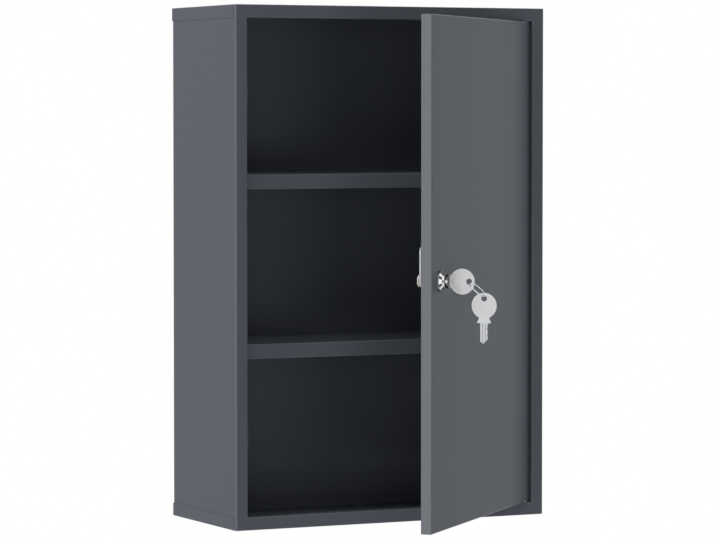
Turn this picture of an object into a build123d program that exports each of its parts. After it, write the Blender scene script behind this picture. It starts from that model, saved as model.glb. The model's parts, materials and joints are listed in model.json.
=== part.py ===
from build123d import *
import os
from math import asin, cos, degrees, hypot, radians, sin

# Lockable steel wall cabinet with one door, shown with its door part open.
# Millimetres. X runs to the right, Y from the front to the back, Z up.
# The origin is in the middle of the base. The door faces -Y.

# Body
cabinet_width = 400.0
cabinet_height = 600.0
cabinet_depth = 180.0
sheet = 0.6
frame_face = 15.0
frame_return = 18.0
corner_radius = 2.0
bend_radius = 1.2
back_flange = 12.0
cap_blend_start = 3.0
cap_blend_end = 8.0
wall_hole_diameter = 8.0
wall_hole_spacing = 300.0
wall_hole_rise = 480.0

# Shelves
shelf_pitch = 194.7
shelf_lip = 17.0
shelf_hem = 8.0
shelf_side_lip = 12.0
shelf_setback = 19.0
shelf_side_gap = 0.5
shelf_back_gap = 0.4
ledge_width = 12.0
ledge_drop = 12.0
ledge_sheet = 0.8
ledge_end_gap = 8.0

# Door, with its hinge pins at the right
door_thickness = 13.0
door_gap_free = 1.5
door_swing_clearance = 0.15
door_gap_top = 0.8
door_gap_bottom = 1.0
door_open_angle = 44.2
door_bend_radius = 1.5
door_inner_bend = 1.0
door_lip = 10.0
stiffener_height = 500.0
stiffener_crown = 40.0
stiffener_depth = 8.0
stiffener_slope = 5.0
stiffener_foot = 14.0

# Hinge pins and their bushes
hinge_edge_distance = 7.0
hinge_pin_diameter = 5.0
hinge_pin_length = 9.0
hinge_head_diameter = 8.0
hinge_head_height = 1.5
hinge_fit = 0.05
bush_diameter = 8.0
bush_flange_diameter = 10.0
bush_length = 7.0
bush_top_gap = 0.3
hinge_plate_length = 34.0
hinge_plate_sheet = 1.5
hinge_plate_side_gap = 0.2

# Door stops behind the free edge
stop_height = 20.0
stop_sheet = 0.8
stop_overhang = 9.0
stop_anchor = 10.0
buffer_diameter = 6.4
buffer_gap = 0.3
buffer_stem = 3.0
buffer_knob = 4.6
buffer_knob_height = 1.2
buffer_edge_distance = 5.0

# Lock, measured from the front face of the door along the lock's axis
lock_edge_distance = 26.0
lock_height = 292.4
lock_flange_diameter = 23.0
lock_flange_height = 2.6
lock_nose_diameter = 17.0
lock_cone_end = 5.4
lock_head_height = 7.8
lock_recess_diameter = 15.9
lock_edge_round = 0.35
barrel_diameter = 18.0
barrel_flats = 16.0
barrel_end = 17.3
barrel_fit = 0.1
lock_nut_flats = 22.0
lock_nut_thickness = 4.0
plug_diameter = 12.0
plug_neck_diameter = 11.0
plug_neck_length = 4.0
plug_fit = 0.05
plug_collar_diameter = 16.4
plug_collar_height = 3.9
plug_collar_gap = 0.1
plug_end = 17.7
tail_diameter = 8.0
tail_flats = 6.4
tail_fit = 0.05
keyway_width = 8.7
keyway_thickness = 2.4
keyway_depth = 16.0
wing_slot_width = 15.5
wafer_count = 5
wafer_pitch = 3.0
wafer_thickness = 1.0
wafer_width = 5.0
wafer_gap = 0.1
wafer_end_gap = 0.2
groove_width = 5.6
groove_depth = 1.2

# Quarter-turn stop, latch cam and its fastening
stop_washer_thickness = 1.2
stop_washer_diameter = 14.4
stop_tab_width = 4.0
stop_tab_reach = 8.8
stop_rim_width = 1.4
stop_rim_height = 1.3
stop_clearance_angle = 3.0
cam_turn = 90.0
tab_rest_angle = 90.0
cam_thickness = 2.0
cam_width = 16.0
cam_reach = 37.7
cam_tip_radius = 6.0
cam_washer_diameter = 13.0
cam_washer_thickness = 0.8
cam_washer_split = 1.0
cam_nut_flats = 13.0
cam_nut_thickness = 2.5
nut_chamfer = 0.5

# Keys and their ring
key_thickness = 2.0
key_bow_diameter = 28.3
key_bow_relief = 0.2
key_bow_rim = 2.0
key_hole_diameter = 6.8
key_hole_offset = 8.0
key_hole_boss = 1.2
key_neck_width = 12.0
key_wing_width = 15.2
key_wing_start = 14.8
key_shoulder = 19.2
key_wing_height = 1.6
blade_width = 8.4
key_tip = 41.6
key_tip_long = 5.0
key_tip_short = 2.6
key_seat_gap = 0.1
blade_groove_width = 1.5
blade_groove_depth = 0.45
blade_groove_offset = 1.6
bitting_depths = (0.7, 1.1, 0.5, 0.9, 0.6)
bitting_pitch = 3.0
bitting_first = 3.6
bitting_floor = 0.7
ring_diameter = 20.6
ring_wire = 1.2
ring_play = 0.3
ring_gap_angle = 3.0
ring_tilt = 42.0
ring_roll = 2.2

# Planes and lines that several pieces share
left = -cabinet_width / 2
right = cabinet_width / 2
front = -cabinet_depth / 2
back = cabinet_depth / 2
half_sheet = sheet / 2
opening_left = left + frame_face
opening_right = right - frame_face
opening_bottom = frame_face
opening_top = cabinet_height - frame_face
bend_middle = bend_radius - half_sheet
corner_middle = corner_radius - half_sheet
panel_bottom = bend_radius
panel_top = cabinet_height - bend_radius
side_back_flange = back - sheet - half_sheet
back_panel_face = back - 2 * sheet
body_middle = cabinet_height / 2

corner_flat = hinge_edge_distance - door_bend_radius
corner_sweep = hypot(corner_flat, door_thickness / 2 - door_bend_radius) + door_bend_radius
door_gap_hinge = corner_sweep + door_swing_clearance - hinge_edge_distance
door_left = opening_left + door_gap_free
door_right = opening_right - door_gap_hinge
door_width = door_right - door_left
door_bottom = opening_bottom + door_gap_bottom
door_top = opening_top - door_gap_top
door_height = door_top - door_bottom
hinge_x = door_right - hinge_edge_distance
hinge_y = front + door_thickness / 2
door_front = -door_thickness / 2
door_back = door_thickness / 2
door_free_edge = hinge_edge_distance - door_width

swing = radians(door_open_angle)
door_along = Vector(cos(swing), sin(swing), 0)
door_outward = Vector(sin(swing), -cos(swing), 0)
upward = Vector(0, 0, 1)
door_plane = Plane(origin=(hinge_x, hinge_y, 0), x_dir=door_along, z_dir=upward)

# Lock coordinates: x along the door towards the hinge, y up, z outward from the door's face
lock_along = door_free_edge + lock_edge_distance
lock_centre = door_plane.from_local_coords((lock_along, door_front, lock_height))
lock_plane = Plane(origin=lock_centre, x_dir=door_along, z_dir=door_outward)
cam_front = -plug_end - stop_washer_thickness
cam_back = cam_front - cam_thickness
cam_washer_back = cam_back - cam_washer_thickness
tail_end = cam_washer_back - cam_nut_thickness
collar_foot = lock_head_height + plug_collar_gap
plug_face = collar_foot + plug_collar_height
bow_distance = plug_face + key_seat_gap + key_bow_diameter / 2
key_seat = bow_distance - key_shoulder


def folded_sheet(points, radii):
    """Section of a bent sheet, drawn round the line in the middle of its thickness."""
    with BuildLine() as middle:
        FilletPolyline(*points, radius=radii)
    trace(middle.line, line_width=sheet)


def plan_rectangle(x_range, y_range):
    """Rectangle between two x values and two y values."""
    width = x_range[1] - x_range[0]
    depth = y_range[1] - y_range[0]
    with Locations(((x_range[0] + x_range[1]) / 2, (y_range[0] + y_range[1]) / 2)):
        Rectangle(width, depth)


def two_flats(diameter, across_flats):
    """Round section with two flats, facing left and right."""
    Circle(diameter / 2)
    Rectangle(across_flats, 2 * diameter, mode=Mode.INTERSECT)


def save(part, name):
    """Label a finished piece and write its STEP file."""
    part.label = name
    export_step(part, os.path.join("parts", name + ".step"))


os.makedirs("parts", exist_ok=True)

# Side panels: front stile, flange turned back into the cabinet, web and back flange
stile_section = [
    (opening_left - half_sheet, front + frame_return),
    (opening_left - half_sheet, front + half_sheet),
    (left + half_sheet, front + half_sheet),
    (left + half_sheet, side_back_flange),
    (left + back_flange, side_back_flange),
]
lapped_section = [
    (left + half_sheet, front + cap_blend_end + half_sheet),
    (left + half_sheet, side_back_flange),
    (left + back_flange, side_back_flange),
]
with BuildPart() as left_side_panel:
    with BuildSketch(Plane.XY.offset(opening_bottom)):
        folded_sheet(stile_section, [bend_middle, corner_middle, bend_middle])
    extrude(amount=opening_top - opening_bottom)
    with BuildSketch(Plane.XY.offset(panel_bottom)):
        folded_sheet(lapped_section, bend_middle)
    extrude(amount=panel_top - panel_bottom)
save(left_side_panel.part, "left_side_panel")

with BuildPart() as right_side_panel:
    mirror(left_side_panel.part, about=Plane.YZ)
save(right_side_panel.part, "right_side_panel")

# Back panel with its four holes for screws in the wall
with BuildPart() as back_panel:
    with BuildSketch(Plane.XZ.offset(-back_panel_face)):
        with Locations((0, body_middle)):
            Rectangle(cabinet_width - 2 * (sheet + bend_radius), panel_top - panel_bottom)
            with GridLocations(wall_hole_spacing, wall_hole_rise, 2, 2):
                Circle(wall_hole_diameter / 2, mode=Mode.SUBTRACT)
    extrude(amount=sheet)
save(back_panel.part, "back_panel")


def cap_outline(inset):
    """Plan of the tray-shaped cap: flush with the front corners, lapped over the sides behind them."""
    corner = right - inset
    lapped = right + sheet - inset
    half = [
        (corner, front + inset),
        (corner, front + cap_blend_start),
        (lapped, front + cap_blend_end),
        (lapped, back - inset),
    ]
    other_half = [(-x, y) for x, y in reversed(half)]
    with BuildLine() as rim:
        Polyline(*half, *other_half, close=True)
    make_face(rim.edges())
    fillet(vertices().group_by(Axis.Y)[0], radius=corner_radius - inset)


# Top and bottom caps: trays whose front rim is the frame's rail, with a flange turned back
with BuildPart() as top_cap:
    with BuildSketch(Plane.XY.offset(opening_top)):
        cap_outline(0)
    extrude(amount=frame_face)
    fillet(faces().sort_by(Axis.Z)[-1].edges(), radius=bend_radius)
    with BuildSketch(Plane.XY.offset(opening_top)):
        cap_outline(sheet)
    extrude(amount=frame_face - sheet, mode=Mode.SUBTRACT)
    with BuildSketch(Plane.XY.offset(opening_top)):
        rail_end = right - corner_radius
        plan_rectangle((-rail_end, rail_end), (front + half_sheet, front + frame_return))
        with Locations((hinge_x, hinge_y)):
            Circle(hinge_pin_diameter / 2, mode=Mode.SUBTRACT)
    extrude(amount=sheet)
    with BuildSketch(Plane.YZ.offset(opening_left)):
        with Locations((front, opening_top)):
            Rectangle(bend_radius, bend_radius, align=(Align.MIN, Align.MIN))
        with Locations((front + bend_radius, opening_top + bend_radius)):
            Circle(bend_radius, mode=Mode.SUBTRACT)
    extrude(amount=opening_right - opening_left, mode=Mode.SUBTRACT)
save(top_cap.part, "top_cap")

with BuildPart() as bottom_cap:
    mirror(top_cap.part, about=Plane.XY.offset(body_middle))
save(bottom_cap.part, "bottom_cap")

# Shelves on ledges that are welded to the side panels
shelf_front = front + shelf_setback
shelf_back = back_panel_face - sheet - shelf_back_gap
shelf_half_width = right - sheet - shelf_side_gap
for shelf_number, shelf_name in enumerate(("lower", "upper"), start=1):
    shelf_top = shelf_number * shelf_pitch + shelf_lip
    ledge_top = shelf_top - shelf_side_lip
    with BuildPart() as shelf:
        with BuildSketch(Plane.YZ.offset(-shelf_half_width)):
            lip_foot = shelf_top - shelf_lip + half_sheet
            shelf_level = shelf_top - half_sheet
            lip_section = [
                (shelf_front + shelf_hem, lip_foot),
                (shelf_front + half_sheet, lip_foot),
                (shelf_front + half_sheet, shelf_level),
                (shelf_back - half_sheet, shelf_level),
                (shelf_back - half_sheet, ledge_top),
            ]
            folded_sheet(lip_section, bend_middle)
        extrude(amount=2 * shelf_half_width)
        with BuildSketch(Plane.XY.offset(ledge_top)):
            for side in (-1, 1):
                lip_inner = side * (shelf_half_width - sheet)
                lip_outer = side * shelf_half_width
                side_lip = (min(lip_inner, lip_outer), max(lip_inner, lip_outer))
                plan_rectangle(side_lip, (shelf_front + shelf_hem, shelf_back - sheet))
        extrude(amount=shelf_side_lip - half_sheet)
    save(shelf.part, shelf_name + "_shelf")

    for side, side_name in ((-1, "left"), (1, "right")):
        wall = side * (right - sheet)
        ledge_inner = wall - side * ledge_width
        ledge_face = wall - side * ledge_sheet
        with BuildPart() as ledge:
            with BuildSketch(Plane.XZ.offset(-shelf_back + ledge_end_gap)):
                plan_rectangle(
                    (min(wall, ledge_inner), max(wall, ledge_inner)),
                    (ledge_top - ledge_sheet, ledge_top),
                )
                plan_rectangle(
                    (min(wall, ledge_face), max(wall, ledge_face)),
                    (ledge_top - ledge_drop, ledge_top),
                )
            extrude(amount=shelf_back - shelf_front - 2 * ledge_end_gap)
        save(ledge.part, shelf_name + "_shelf_" + side_name + "_ledge")

# Stops behind the free edge of the door, each a bracket with a rubber buffer
lower_opening_middle = (opening_bottom + shelf_pitch) / 2
upper_opening_middle = (2 * shelf_pitch + shelf_lip + opening_top) / 2
stop_levels = (lower_opening_middle, upper_opening_middle)
stop_face = front + frame_return
buffer_x = opening_left + buffer_edge_distance
anchor_inner = opening_left - sheet
with BuildPart() as door_stop_brackets:
    for level in stop_levels:
        with BuildSketch(Plane.XY.offset(level - stop_height / 2)):
            plan_rectangle(
                (anchor_inner - stop_sheet, opening_left + stop_overhang),
                (stop_face, stop_face + stop_sheet),
            )
            plan_rectangle(
                (anchor_inner - stop_sheet, anchor_inner),
                (stop_face - stop_anchor, stop_face + stop_sheet),
            )
        extrude(amount=stop_height)
    with BuildSketch(Plane.XZ.offset(-stop_face)):
        with Locations(*[(buffer_x, level) for level in stop_levels]):
            Circle(buffer_stem / 2)
    extrude(amount=-stop_sheet, mode=Mode.SUBTRACT)
save(door_stop_brackets.part, "door_stop_brackets")

buffer_face = front + door_thickness + buffer_gap
with BuildPart() as door_stop_buffers:
    for start, end, diameter in (
        (buffer_face, stop_face, buffer_diameter),
        (stop_face, stop_face + stop_sheet, buffer_stem),
        (stop_face + stop_sheet, stop_face + stop_sheet + buffer_knob_height, buffer_knob),
    ):
        with BuildSketch(Plane.XZ.offset(-start)):
            with Locations(*[(buffer_x, level) for level in stop_levels]):
                Circle(diameter / 2)
        extrude(amount=start - end)
save(door_stop_buffers.part, "door_stop_buffers")

# Door: a pan of sheet with returned edges and inner lips, open at the back
with BuildPart() as door_shell:
    with BuildSketch(door_plane.offset(door_bottom)):
        plan_rectangle((door_free_edge, hinge_edge_distance), (door_front, door_back))
    extrude(amount=door_height)
    outward_faces = faces().sort_by(Axis(lock_centre, door_outward))
    fillet(outward_faces[-1].edges(), radius=door_bend_radius)
    fillet(faces().sort_by(Axis(lock_centre, door_outward))[0].edges(), radius=door_inner_bend)
    with BuildSketch(door_plane.offset(door_bottom + sheet)):
        plan_rectangle(
            (door_free_edge + sheet, hinge_edge_distance - sheet),
            (door_front + sheet, door_back - sheet),
        )
    extrude(amount=door_height - 2 * sheet, mode=Mode.SUBTRACT)
    with BuildSketch(lock_plane.offset(-door_thickness)):
        lip_plane_low = door_bottom + door_lip - lock_height
        lip_plane_high = door_top - door_lip - lock_height
        lip_plane_left = door_free_edge + door_lip - lock_along
        lip_plane_right = hinge_edge_distance - door_lip - lock_along
        plan_rectangle((lip_plane_left, lip_plane_right), (lip_plane_low, lip_plane_high))
    extrude(amount=2 * sheet, mode=Mode.SUBTRACT)
    with BuildSketch(lock_plane):
        two_flats(barrel_diameter + 2 * barrel_fit, barrel_flats + 2 * barrel_fit)
    extrude(amount=-2 * sheet, mode=Mode.SUBTRACT)
    with BuildSketch(door_plane.offset(door_bottom)):
        Circle(bush_diameter / 2)
    extrude(amount=door_height, mode=Mode.SUBTRACT)
save(door_shell.part, "door_shell")

# Stiffener: a hat section fixed to the inside of the door's face
stiffener_middle = hinge_edge_distance - door_width / 2
foot_level = door_front + sheet + half_sheet
crown_level = door_front + sheet + stiffener_depth - half_sheet
crown_half = stiffener_crown / 2
web_half = crown_half + stiffener_slope
hat_section = [
    (stiffener_middle - web_half - stiffener_foot, foot_level),
    (stiffener_middle - web_half, foot_level),
    (stiffener_middle - crown_half, crown_level),
    (stiffener_middle + crown_half, crown_level),
    (stiffener_middle + web_half, foot_level),
    (stiffener_middle + web_half + stiffener_foot, foot_level),
]
stiffener_bottom = (door_bottom + door_top - stiffener_height) / 2
with BuildPart() as door_stiffener:
    with BuildSketch(door_plane.offset(stiffener_bottom)):
        folded_sheet(hat_section, bend_middle)
    extrude(amount=stiffener_height)
save(door_stiffener.part, "door_stiffener")

# Hinge at each end of the door: pin in the rail, bush and reinforcing plate in the door
for end_name, rail_face, door_end, inward, flange_thickness in (
    ("upper", opening_top, door_top, -1, door_gap_top - bush_top_gap),
    ("lower", opening_bottom, door_bottom, 1, door_gap_bottom - hinge_fit),
):
    rail_back = rail_face - inward * sheet
    with BuildPart() as hinge_pin:
        with BuildSketch(door_plane.offset(rail_back)):
            Circle(hinge_pin_diameter / 2)
        extrude(amount=inward * (sheet + hinge_pin_length))
        pin_end = hinge_pin.faces().sort_by(Axis.Z)[0 if inward < 0 else -1]
        chamfer(pin_end.edges(), length=hinge_head_height / 3)
        with BuildSketch(door_plane.offset(rail_back)):
            Circle(hinge_head_diameter / 2)
        extrude(amount=-inward * hinge_head_height)
    save(hinge_pin.part, end_name + "_hinge_pin")

    with BuildPart() as hinge_bush:
        with BuildSketch(door_plane.offset(door_end)):
            Circle(bush_diameter / 2)
        extrude(amount=inward * bush_length)
        with BuildSketch(door_plane.offset(door_end)):
            Circle(bush_flange_diameter / 2)
        extrude(amount=-inward * flange_thickness)
        with BuildSketch(door_plane.offset(door_end - inward * flange_thickness)):
            Circle(hinge_pin_diameter / 2 + hinge_fit)
        extrude(amount=inward * (bush_length + flange_thickness), mode=Mode.SUBTRACT)
    save(hinge_bush.part, end_name + "_hinge_bush")

    with BuildPart() as hinge_plate:
        with BuildSketch(door_plane.offset(door_end + inward * sheet)):
            plate_edge = hinge_edge_distance - sheet - hinge_plate_side_gap
            plate_half = door_back - sheet - hinge_plate_side_gap
            plan_rectangle((plate_edge - hinge_plate_length, plate_edge), (-plate_half, plate_half))
            Circle(bush_diameter / 2, mode=Mode.SUBTRACT)
        extrude(amount=inward * hinge_plate_sheet)
    save(hinge_plate.part, end_name + "_hinge_plate")

# Lock housing: flanged nose, threaded barrel with two flats, and a rim that limits the turn
neck_start = -plug_end + plug_neck_length
tab_half_angle = degrees(asin(stop_tab_width / 2 / stop_tab_reach))
rim_start = tab_rest_angle + cam_turn + tab_half_angle + stop_clearance_angle
rim_angle = 360 - cam_turn - 2 * (tab_half_angle + stop_clearance_angle)
rim_radius = barrel_diameter / 2 - stop_rim_width / 2
wafer_levels = [key_seat - bitting_first - number * wafer_pitch for number in range(wafer_count)]
groove_length = wafer_pitch * wafer_count
with BuildPart() as lock_housing:
    with BuildSketch(lock_plane):
        Circle(lock_flange_diameter / 2)
    extrude(amount=lock_flange_height)
    with BuildSketch(lock_plane.offset(lock_flange_height)):
        Circle(lock_flange_diameter / 2)
    with BuildSketch(lock_plane.offset(lock_cone_end)):
        Circle(lock_nose_diameter / 2)
    loft()
    with BuildSketch(lock_plane.offset(lock_cone_end)):
        Circle(lock_nose_diameter / 2)
    extrude(amount=lock_head_height - lock_cone_end)
    head_edges = edges().filter_by(GeomType.CIRCLE).sort_by(Axis(lock_centre, door_outward))
    fillet([head_edges[-1], head_edges[1]], radius=lock_edge_round)
    with BuildSketch(lock_plane):
        two_flats(barrel_diameter, barrel_flats)
    extrude(amount=-barrel_end)
    with BuildSketch(lock_plane.offset(-barrel_end)):
        with BuildLine():
            CenterArc((0, 0), rim_radius, rim_start, rim_angle)
        trace(line_width=stop_rim_width)
        Rectangle(barrel_flats, 2 * barrel_diameter, mode=Mode.INTERSECT)
    extrude(amount=-stop_rim_height)
    with BuildSketch(lock_plane.offset(neck_start - wafer_gap)):
        Circle(plug_diameter / 2 + plug_fit)
    extrude(amount=lock_head_height - neck_start + wafer_gap, mode=Mode.SUBTRACT)
    with BuildSketch(lock_plane.offset(key_seat - key_seat_gap)):
        Circle(lock_recess_diameter / 2)
    extrude(amount=lock_head_height - key_seat + key_seat_gap, mode=Mode.SUBTRACT)
    with BuildSketch(lock_plane.offset(neck_start)):
        Circle(plug_neck_diameter / 2 + plug_fit)
    extrude(amount=-barrel_end - neck_start, mode=Mode.SUBTRACT)
    with BuildSketch(lock_plane.offset(wafer_levels[0] + wafer_pitch / 2)):
        Rectangle(groove_width, plug_diameter + 2 * groove_depth)
    extrude(amount=-groove_length, mode=Mode.SUBTRACT)
save(lock_housing.part, "lock_housing")

with BuildPart() as lock_nut:
    with BuildSketch(lock_plane.offset(-sheet)):
        RegularPolygon(lock_nut_flats / 2, 6, major_radius=False)
        Circle(barrel_diameter / 2, mode=Mode.SUBTRACT)
    extrude(amount=-lock_nut_thickness)
save(lock_nut.part, "lock_nut")

# Plug that turns in the housing: collar with a slot for the wings of the key, keyway, wafer slots and tail
with BuildPart() as lock_plug:
    with BuildSketch(lock_plane.offset(plug_face)):
        Circle(plug_collar_diameter / 2)
    extrude(amount=-plug_collar_height)
    fillet(faces().sort_by(Axis(lock_centre, door_outward))[-1].edges(), radius=lock_edge_round)
    with BuildSketch(lock_plane.offset(collar_foot)):
        Circle(plug_diameter / 2)
    extrude(amount=neck_start - collar_foot)
    with BuildSketch(lock_plane.offset(neck_start)):
        Circle(plug_neck_diameter / 2)
    extrude(amount=-plug_neck_length)
    with BuildSketch(lock_plane.offset(-plug_end)):
        two_flats(tail_diameter, tail_flats)
    extrude(amount=tail_end + plug_end)
    with BuildSketch(lock_plane.offset(plug_face)):
        Rectangle(keyway_thickness, keyway_width)
    extrude(amount=-keyway_depth - plug_face, mode=Mode.SUBTRACT)
    with BuildSketch(lock_plane.offset(plug_face)):
        Rectangle(keyway_thickness, wing_slot_width)
    extrude(amount=key_seat - key_seat_gap - plug_face, mode=Mode.SUBTRACT)
    for level in wafer_levels:
        with BuildSketch(lock_plane.offset(level + wafer_thickness / 2 + wafer_gap / 2)):
            Rectangle(wafer_width + 2 * wafer_gap, plug_diameter)
        extrude(amount=-wafer_thickness - wafer_gap, mode=Mode.SUBTRACT)
save(lock_plug.part, "lock_plug")

with BuildPart() as lock_wafers:
    for level in wafer_levels:
        with BuildSketch(lock_plane.offset(level - wafer_thickness / 2)):
            Circle(plug_diameter / 2 - wafer_end_gap)
            Rectangle(wafer_width, plug_diameter, mode=Mode.INTERSECT)
            Rectangle(keyway_thickness + wafer_gap, keyway_width + wafer_gap, mode=Mode.SUBTRACT)
        extrude(amount=wafer_thickness)
save(lock_wafers.part, "lock_wafers")

# Washer whose tab runs between the ends of the housing's rim
with BuildPart() as lock_stop_washer:
    with BuildSketch(lock_plane.offset(-plug_end)):
        Circle(stop_washer_diameter / 2)
        with Locations((0, stop_tab_reach / 2)):
            Rectangle(stop_tab_width, stop_tab_reach)
    extrude(amount=-stop_washer_thickness)
    with BuildSketch(lock_plane.offset(-plug_end)):
        two_flats(tail_diameter + 2 * tail_fit, tail_flats + 2 * tail_fit)
    extrude(amount=-stop_washer_thickness, mode=Mode.SUBTRACT)
save(lock_stop_washer.part, "lock_stop_washer")

# Cam that points up when unlocked and behind the frame when locked
with BuildPart() as lock_cam:
    with BuildSketch(lock_plane.offset(cam_front)):
        Circle(cam_width / 2)
        with Locations((0, cam_reach / 2)):
            Rectangle(cam_width, cam_reach)
        fillet(vertices().group_by(Axis.Y)[-1], radius=cam_tip_radius)
    extrude(amount=-cam_thickness)
    with BuildSketch(lock_plane.offset(cam_front)):
        two_flats(tail_diameter + 2 * tail_fit, tail_flats + 2 * tail_fit)
    extrude(amount=-cam_thickness, mode=Mode.SUBTRACT)
save(lock_cam.part, "lock_cam")

with BuildPart() as cam_washer:
    with BuildSketch(lock_plane.offset(cam_back)):
        Circle(cam_washer_diameter / 2)
        Circle(tail_diameter / 2 + tail_fit, mode=Mode.SUBTRACT)
        with Locations((cam_washer_diameter / 2, 0)):
            Rectangle(cam_washer_diameter, cam_washer_split, mode=Mode.SUBTRACT)
    extrude(amount=-cam_washer_thickness)
save(cam_washer.part, "cam_washer")

with BuildPart() as cam_nut:
    with BuildSketch(lock_plane.offset(cam_washer_back)):
        RegularPolygon(cam_nut_flats / 2, 6, major_radius=False)
    extrude(amount=-cam_nut_thickness)
    nut_ends = faces().sort_by(Axis(lock_centre, door_outward))
    chamfer(nut_ends[0].edges(), length=nut_chamfer)
    with BuildSketch(lock_plane.offset(cam_washer_back)):
        Circle(tail_diameter / 2 + tail_fit)
    extrude(amount=-cam_nut_thickness, mode=Mode.SUBTRACT)
save(cam_nut.part, "cam_nut")


def make_key(plane):
    """Flat key: x from the middle of its bow to its tip, y across, z through its thickness."""
    blade_half = blade_width / 2
    wing_half = key_wing_width / 2
    neck_half = key_neck_width / 2
    wing_end = key_shoulder - key_wing_height
    with BuildPart() as key:
        with BuildSketch(plane.offset(-key_thickness / 2)):
            Circle(key_bow_diameter / 2)
            with BuildLine():
                Polyline(
                    (0, -neck_half),
                    (key_wing_start, -neck_half),
                    (wing_end, -wing_half),
                    (key_shoulder, -wing_half),
                    (key_shoulder, -blade_half),
                    (key_tip - key_tip_short, -blade_half),
                    (key_tip, -blade_half + key_tip_short),
                    (key_tip, blade_half - key_tip_long),
                    (key_tip - key_tip_long, blade_half),
                    (key_shoulder, blade_half),
                    (key_shoulder, wing_half),
                    (wing_end, wing_half),
                    (key_wing_start, neck_half),
                    (0, neck_half),
                    close=True,
                )
            make_face()
            with Locations((-key_hole_offset, 0)):
                Circle(key_hole_diameter / 2, mode=Mode.SUBTRACT)
        extrude(amount=key_thickness)
        for face_offset, depth in ((-key_thickness / 2, 1), (key_thickness / 2, -1)):
            with BuildSketch(plane.offset(face_offset)):
                Circle(key_bow_diameter / 2 - key_bow_rim)
                with Locations((-key_hole_offset, 0)):
                    Circle(key_hole_diameter / 2 + key_hole_boss, mode=Mode.SUBTRACT)
            extrude(amount=depth * key_bow_relief, mode=Mode.SUBTRACT)
            with BuildSketch(plane.offset(face_offset)):
                groove_middle = depth * blade_groove_offset
                groove_side = (groove_middle - blade_groove_width / 2, groove_middle + blade_groove_width / 2)
                plan_rectangle((key_shoulder, key_tip), groove_side)
            extrude(amount=depth * blade_groove_depth, mode=Mode.SUBTRACT)
        with BuildSketch(plane.offset(-key_thickness / 2)):
            for number, depth in enumerate(bitting_depths):
                middle = key_shoulder + bitting_first + number * bitting_pitch
                floor = bitting_floor / 2
                with BuildLine():
                    Polyline(
                        (middle - floor, blade_half - depth),
                        (middle + floor, blade_half - depth),
                        (middle + floor + depth, blade_half),
                        (middle - floor - depth, blade_half),
                        close=True,
                    )
                make_face()
        extrude(amount=key_thickness, mode=Mode.SUBTRACT)
    return key.part


# Key in the lock, turned so that its bow stands upright
bow_centre = lock_centre + door_outward * bow_distance
key_part = make_key(Plane(origin=bow_centre, x_dir=-door_outward, z_dir=door_along))
save(key_part, "key")

# Ring through both keys, leaning outward and down from the hole of the key in the lock
ring_direction = door_outward * cos(radians(ring_tilt)) - upward * sin(radians(ring_tilt))
ring_across = door_along.rotate(Axis((0, 0, 0), ring_direction), ring_roll)
ring_normal = ring_across.cross(ring_direction)
wire_offset = (key_hole_diameter - ring_wire) / 2 - ring_play
key_hole = bow_centre + door_outward * key_hole_offset
ring_centre = key_hole + ring_direction * (wire_offset + ring_diameter / 2)
with BuildPart() as key_ring:
    with BuildLine(Plane(origin=ring_centre, x_dir=ring_across, z_dir=ring_normal)) as wire:
        CenterArc((0, 0), ring_diameter / 2, ring_gap_angle / 2, 360 - ring_gap_angle)
    with BuildSketch(Plane(origin=wire.line @ 0, z_dir=wire.line % 0)):
        Circle(ring_wire / 2)
    sweep()
save(key_ring.part, "key_ring")

# Spare key, hanging from the far side of the ring
spare_hole = key_hole + ring_direction * (wire_offset + ring_diameter) - upward * wire_offset
spare_centre = spare_hole - upward * key_hole_offset
spare_part = make_key(Plane(origin=spare_centre, x_dir=-upward, z_dir=-door_along))
save(spare_part, "spare_key")
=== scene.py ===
import json
import logging
import math
from dataclasses import dataclass, field
from enum import Enum
from typing import Callable, Iterable, Optional, Sequence

import bmesh
import bpy
from mathutils import Matrix, Vector


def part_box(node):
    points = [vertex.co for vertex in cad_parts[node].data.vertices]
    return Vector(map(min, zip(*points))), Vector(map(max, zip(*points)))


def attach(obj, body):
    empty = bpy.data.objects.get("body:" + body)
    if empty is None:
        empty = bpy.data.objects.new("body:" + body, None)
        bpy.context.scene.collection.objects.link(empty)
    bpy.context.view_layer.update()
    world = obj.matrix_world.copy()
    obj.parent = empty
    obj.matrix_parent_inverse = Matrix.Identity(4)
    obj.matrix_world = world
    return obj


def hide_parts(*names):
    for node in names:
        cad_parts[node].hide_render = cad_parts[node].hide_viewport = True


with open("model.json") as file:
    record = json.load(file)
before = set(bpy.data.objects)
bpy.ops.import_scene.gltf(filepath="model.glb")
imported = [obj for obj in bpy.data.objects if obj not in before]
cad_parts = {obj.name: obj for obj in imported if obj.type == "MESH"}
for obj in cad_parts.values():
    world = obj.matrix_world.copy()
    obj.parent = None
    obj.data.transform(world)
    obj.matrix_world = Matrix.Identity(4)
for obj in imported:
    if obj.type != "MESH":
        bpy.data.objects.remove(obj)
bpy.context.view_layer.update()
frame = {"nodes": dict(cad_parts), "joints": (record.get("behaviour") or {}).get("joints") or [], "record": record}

log = logging.getLogger("medicine_cabinet")

MM = 0.001
FULL_TURN = 2.0 * math.pi
TINY = 1e-6
UP = Vector((0.0, 0.0, 1.0))
WHITE = (1.0, 1.0, 1.0, 1.0)
Colour = tuple[float, float, float]
Point2 = tuple[float, float]
Shape = Callable[[float, float, float], float]
Node = bpy.types.Node
Socket = bpy.types.NodeSocket


class RayKind(Enum):
    """Rays that see the plain white surroundings instead of the studio's ambient light."""

    CAMERA = "Is Camera Ray"
    GLOSSY = "Is Glossy Ray"
    TRANSMISSION = "Is Transmission Ray"


class EndOfDoor(Enum):
    """The two ends of the door, each with its hinge pin, bush and plate."""

    UPPER = "upper"
    LOWER = "lower"

    @property
    def inward(self) -> Vector:
        """Direction from the rail at this end into the door."""
        return UP if self is EndOfDoor.LOWER else -UP


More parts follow.
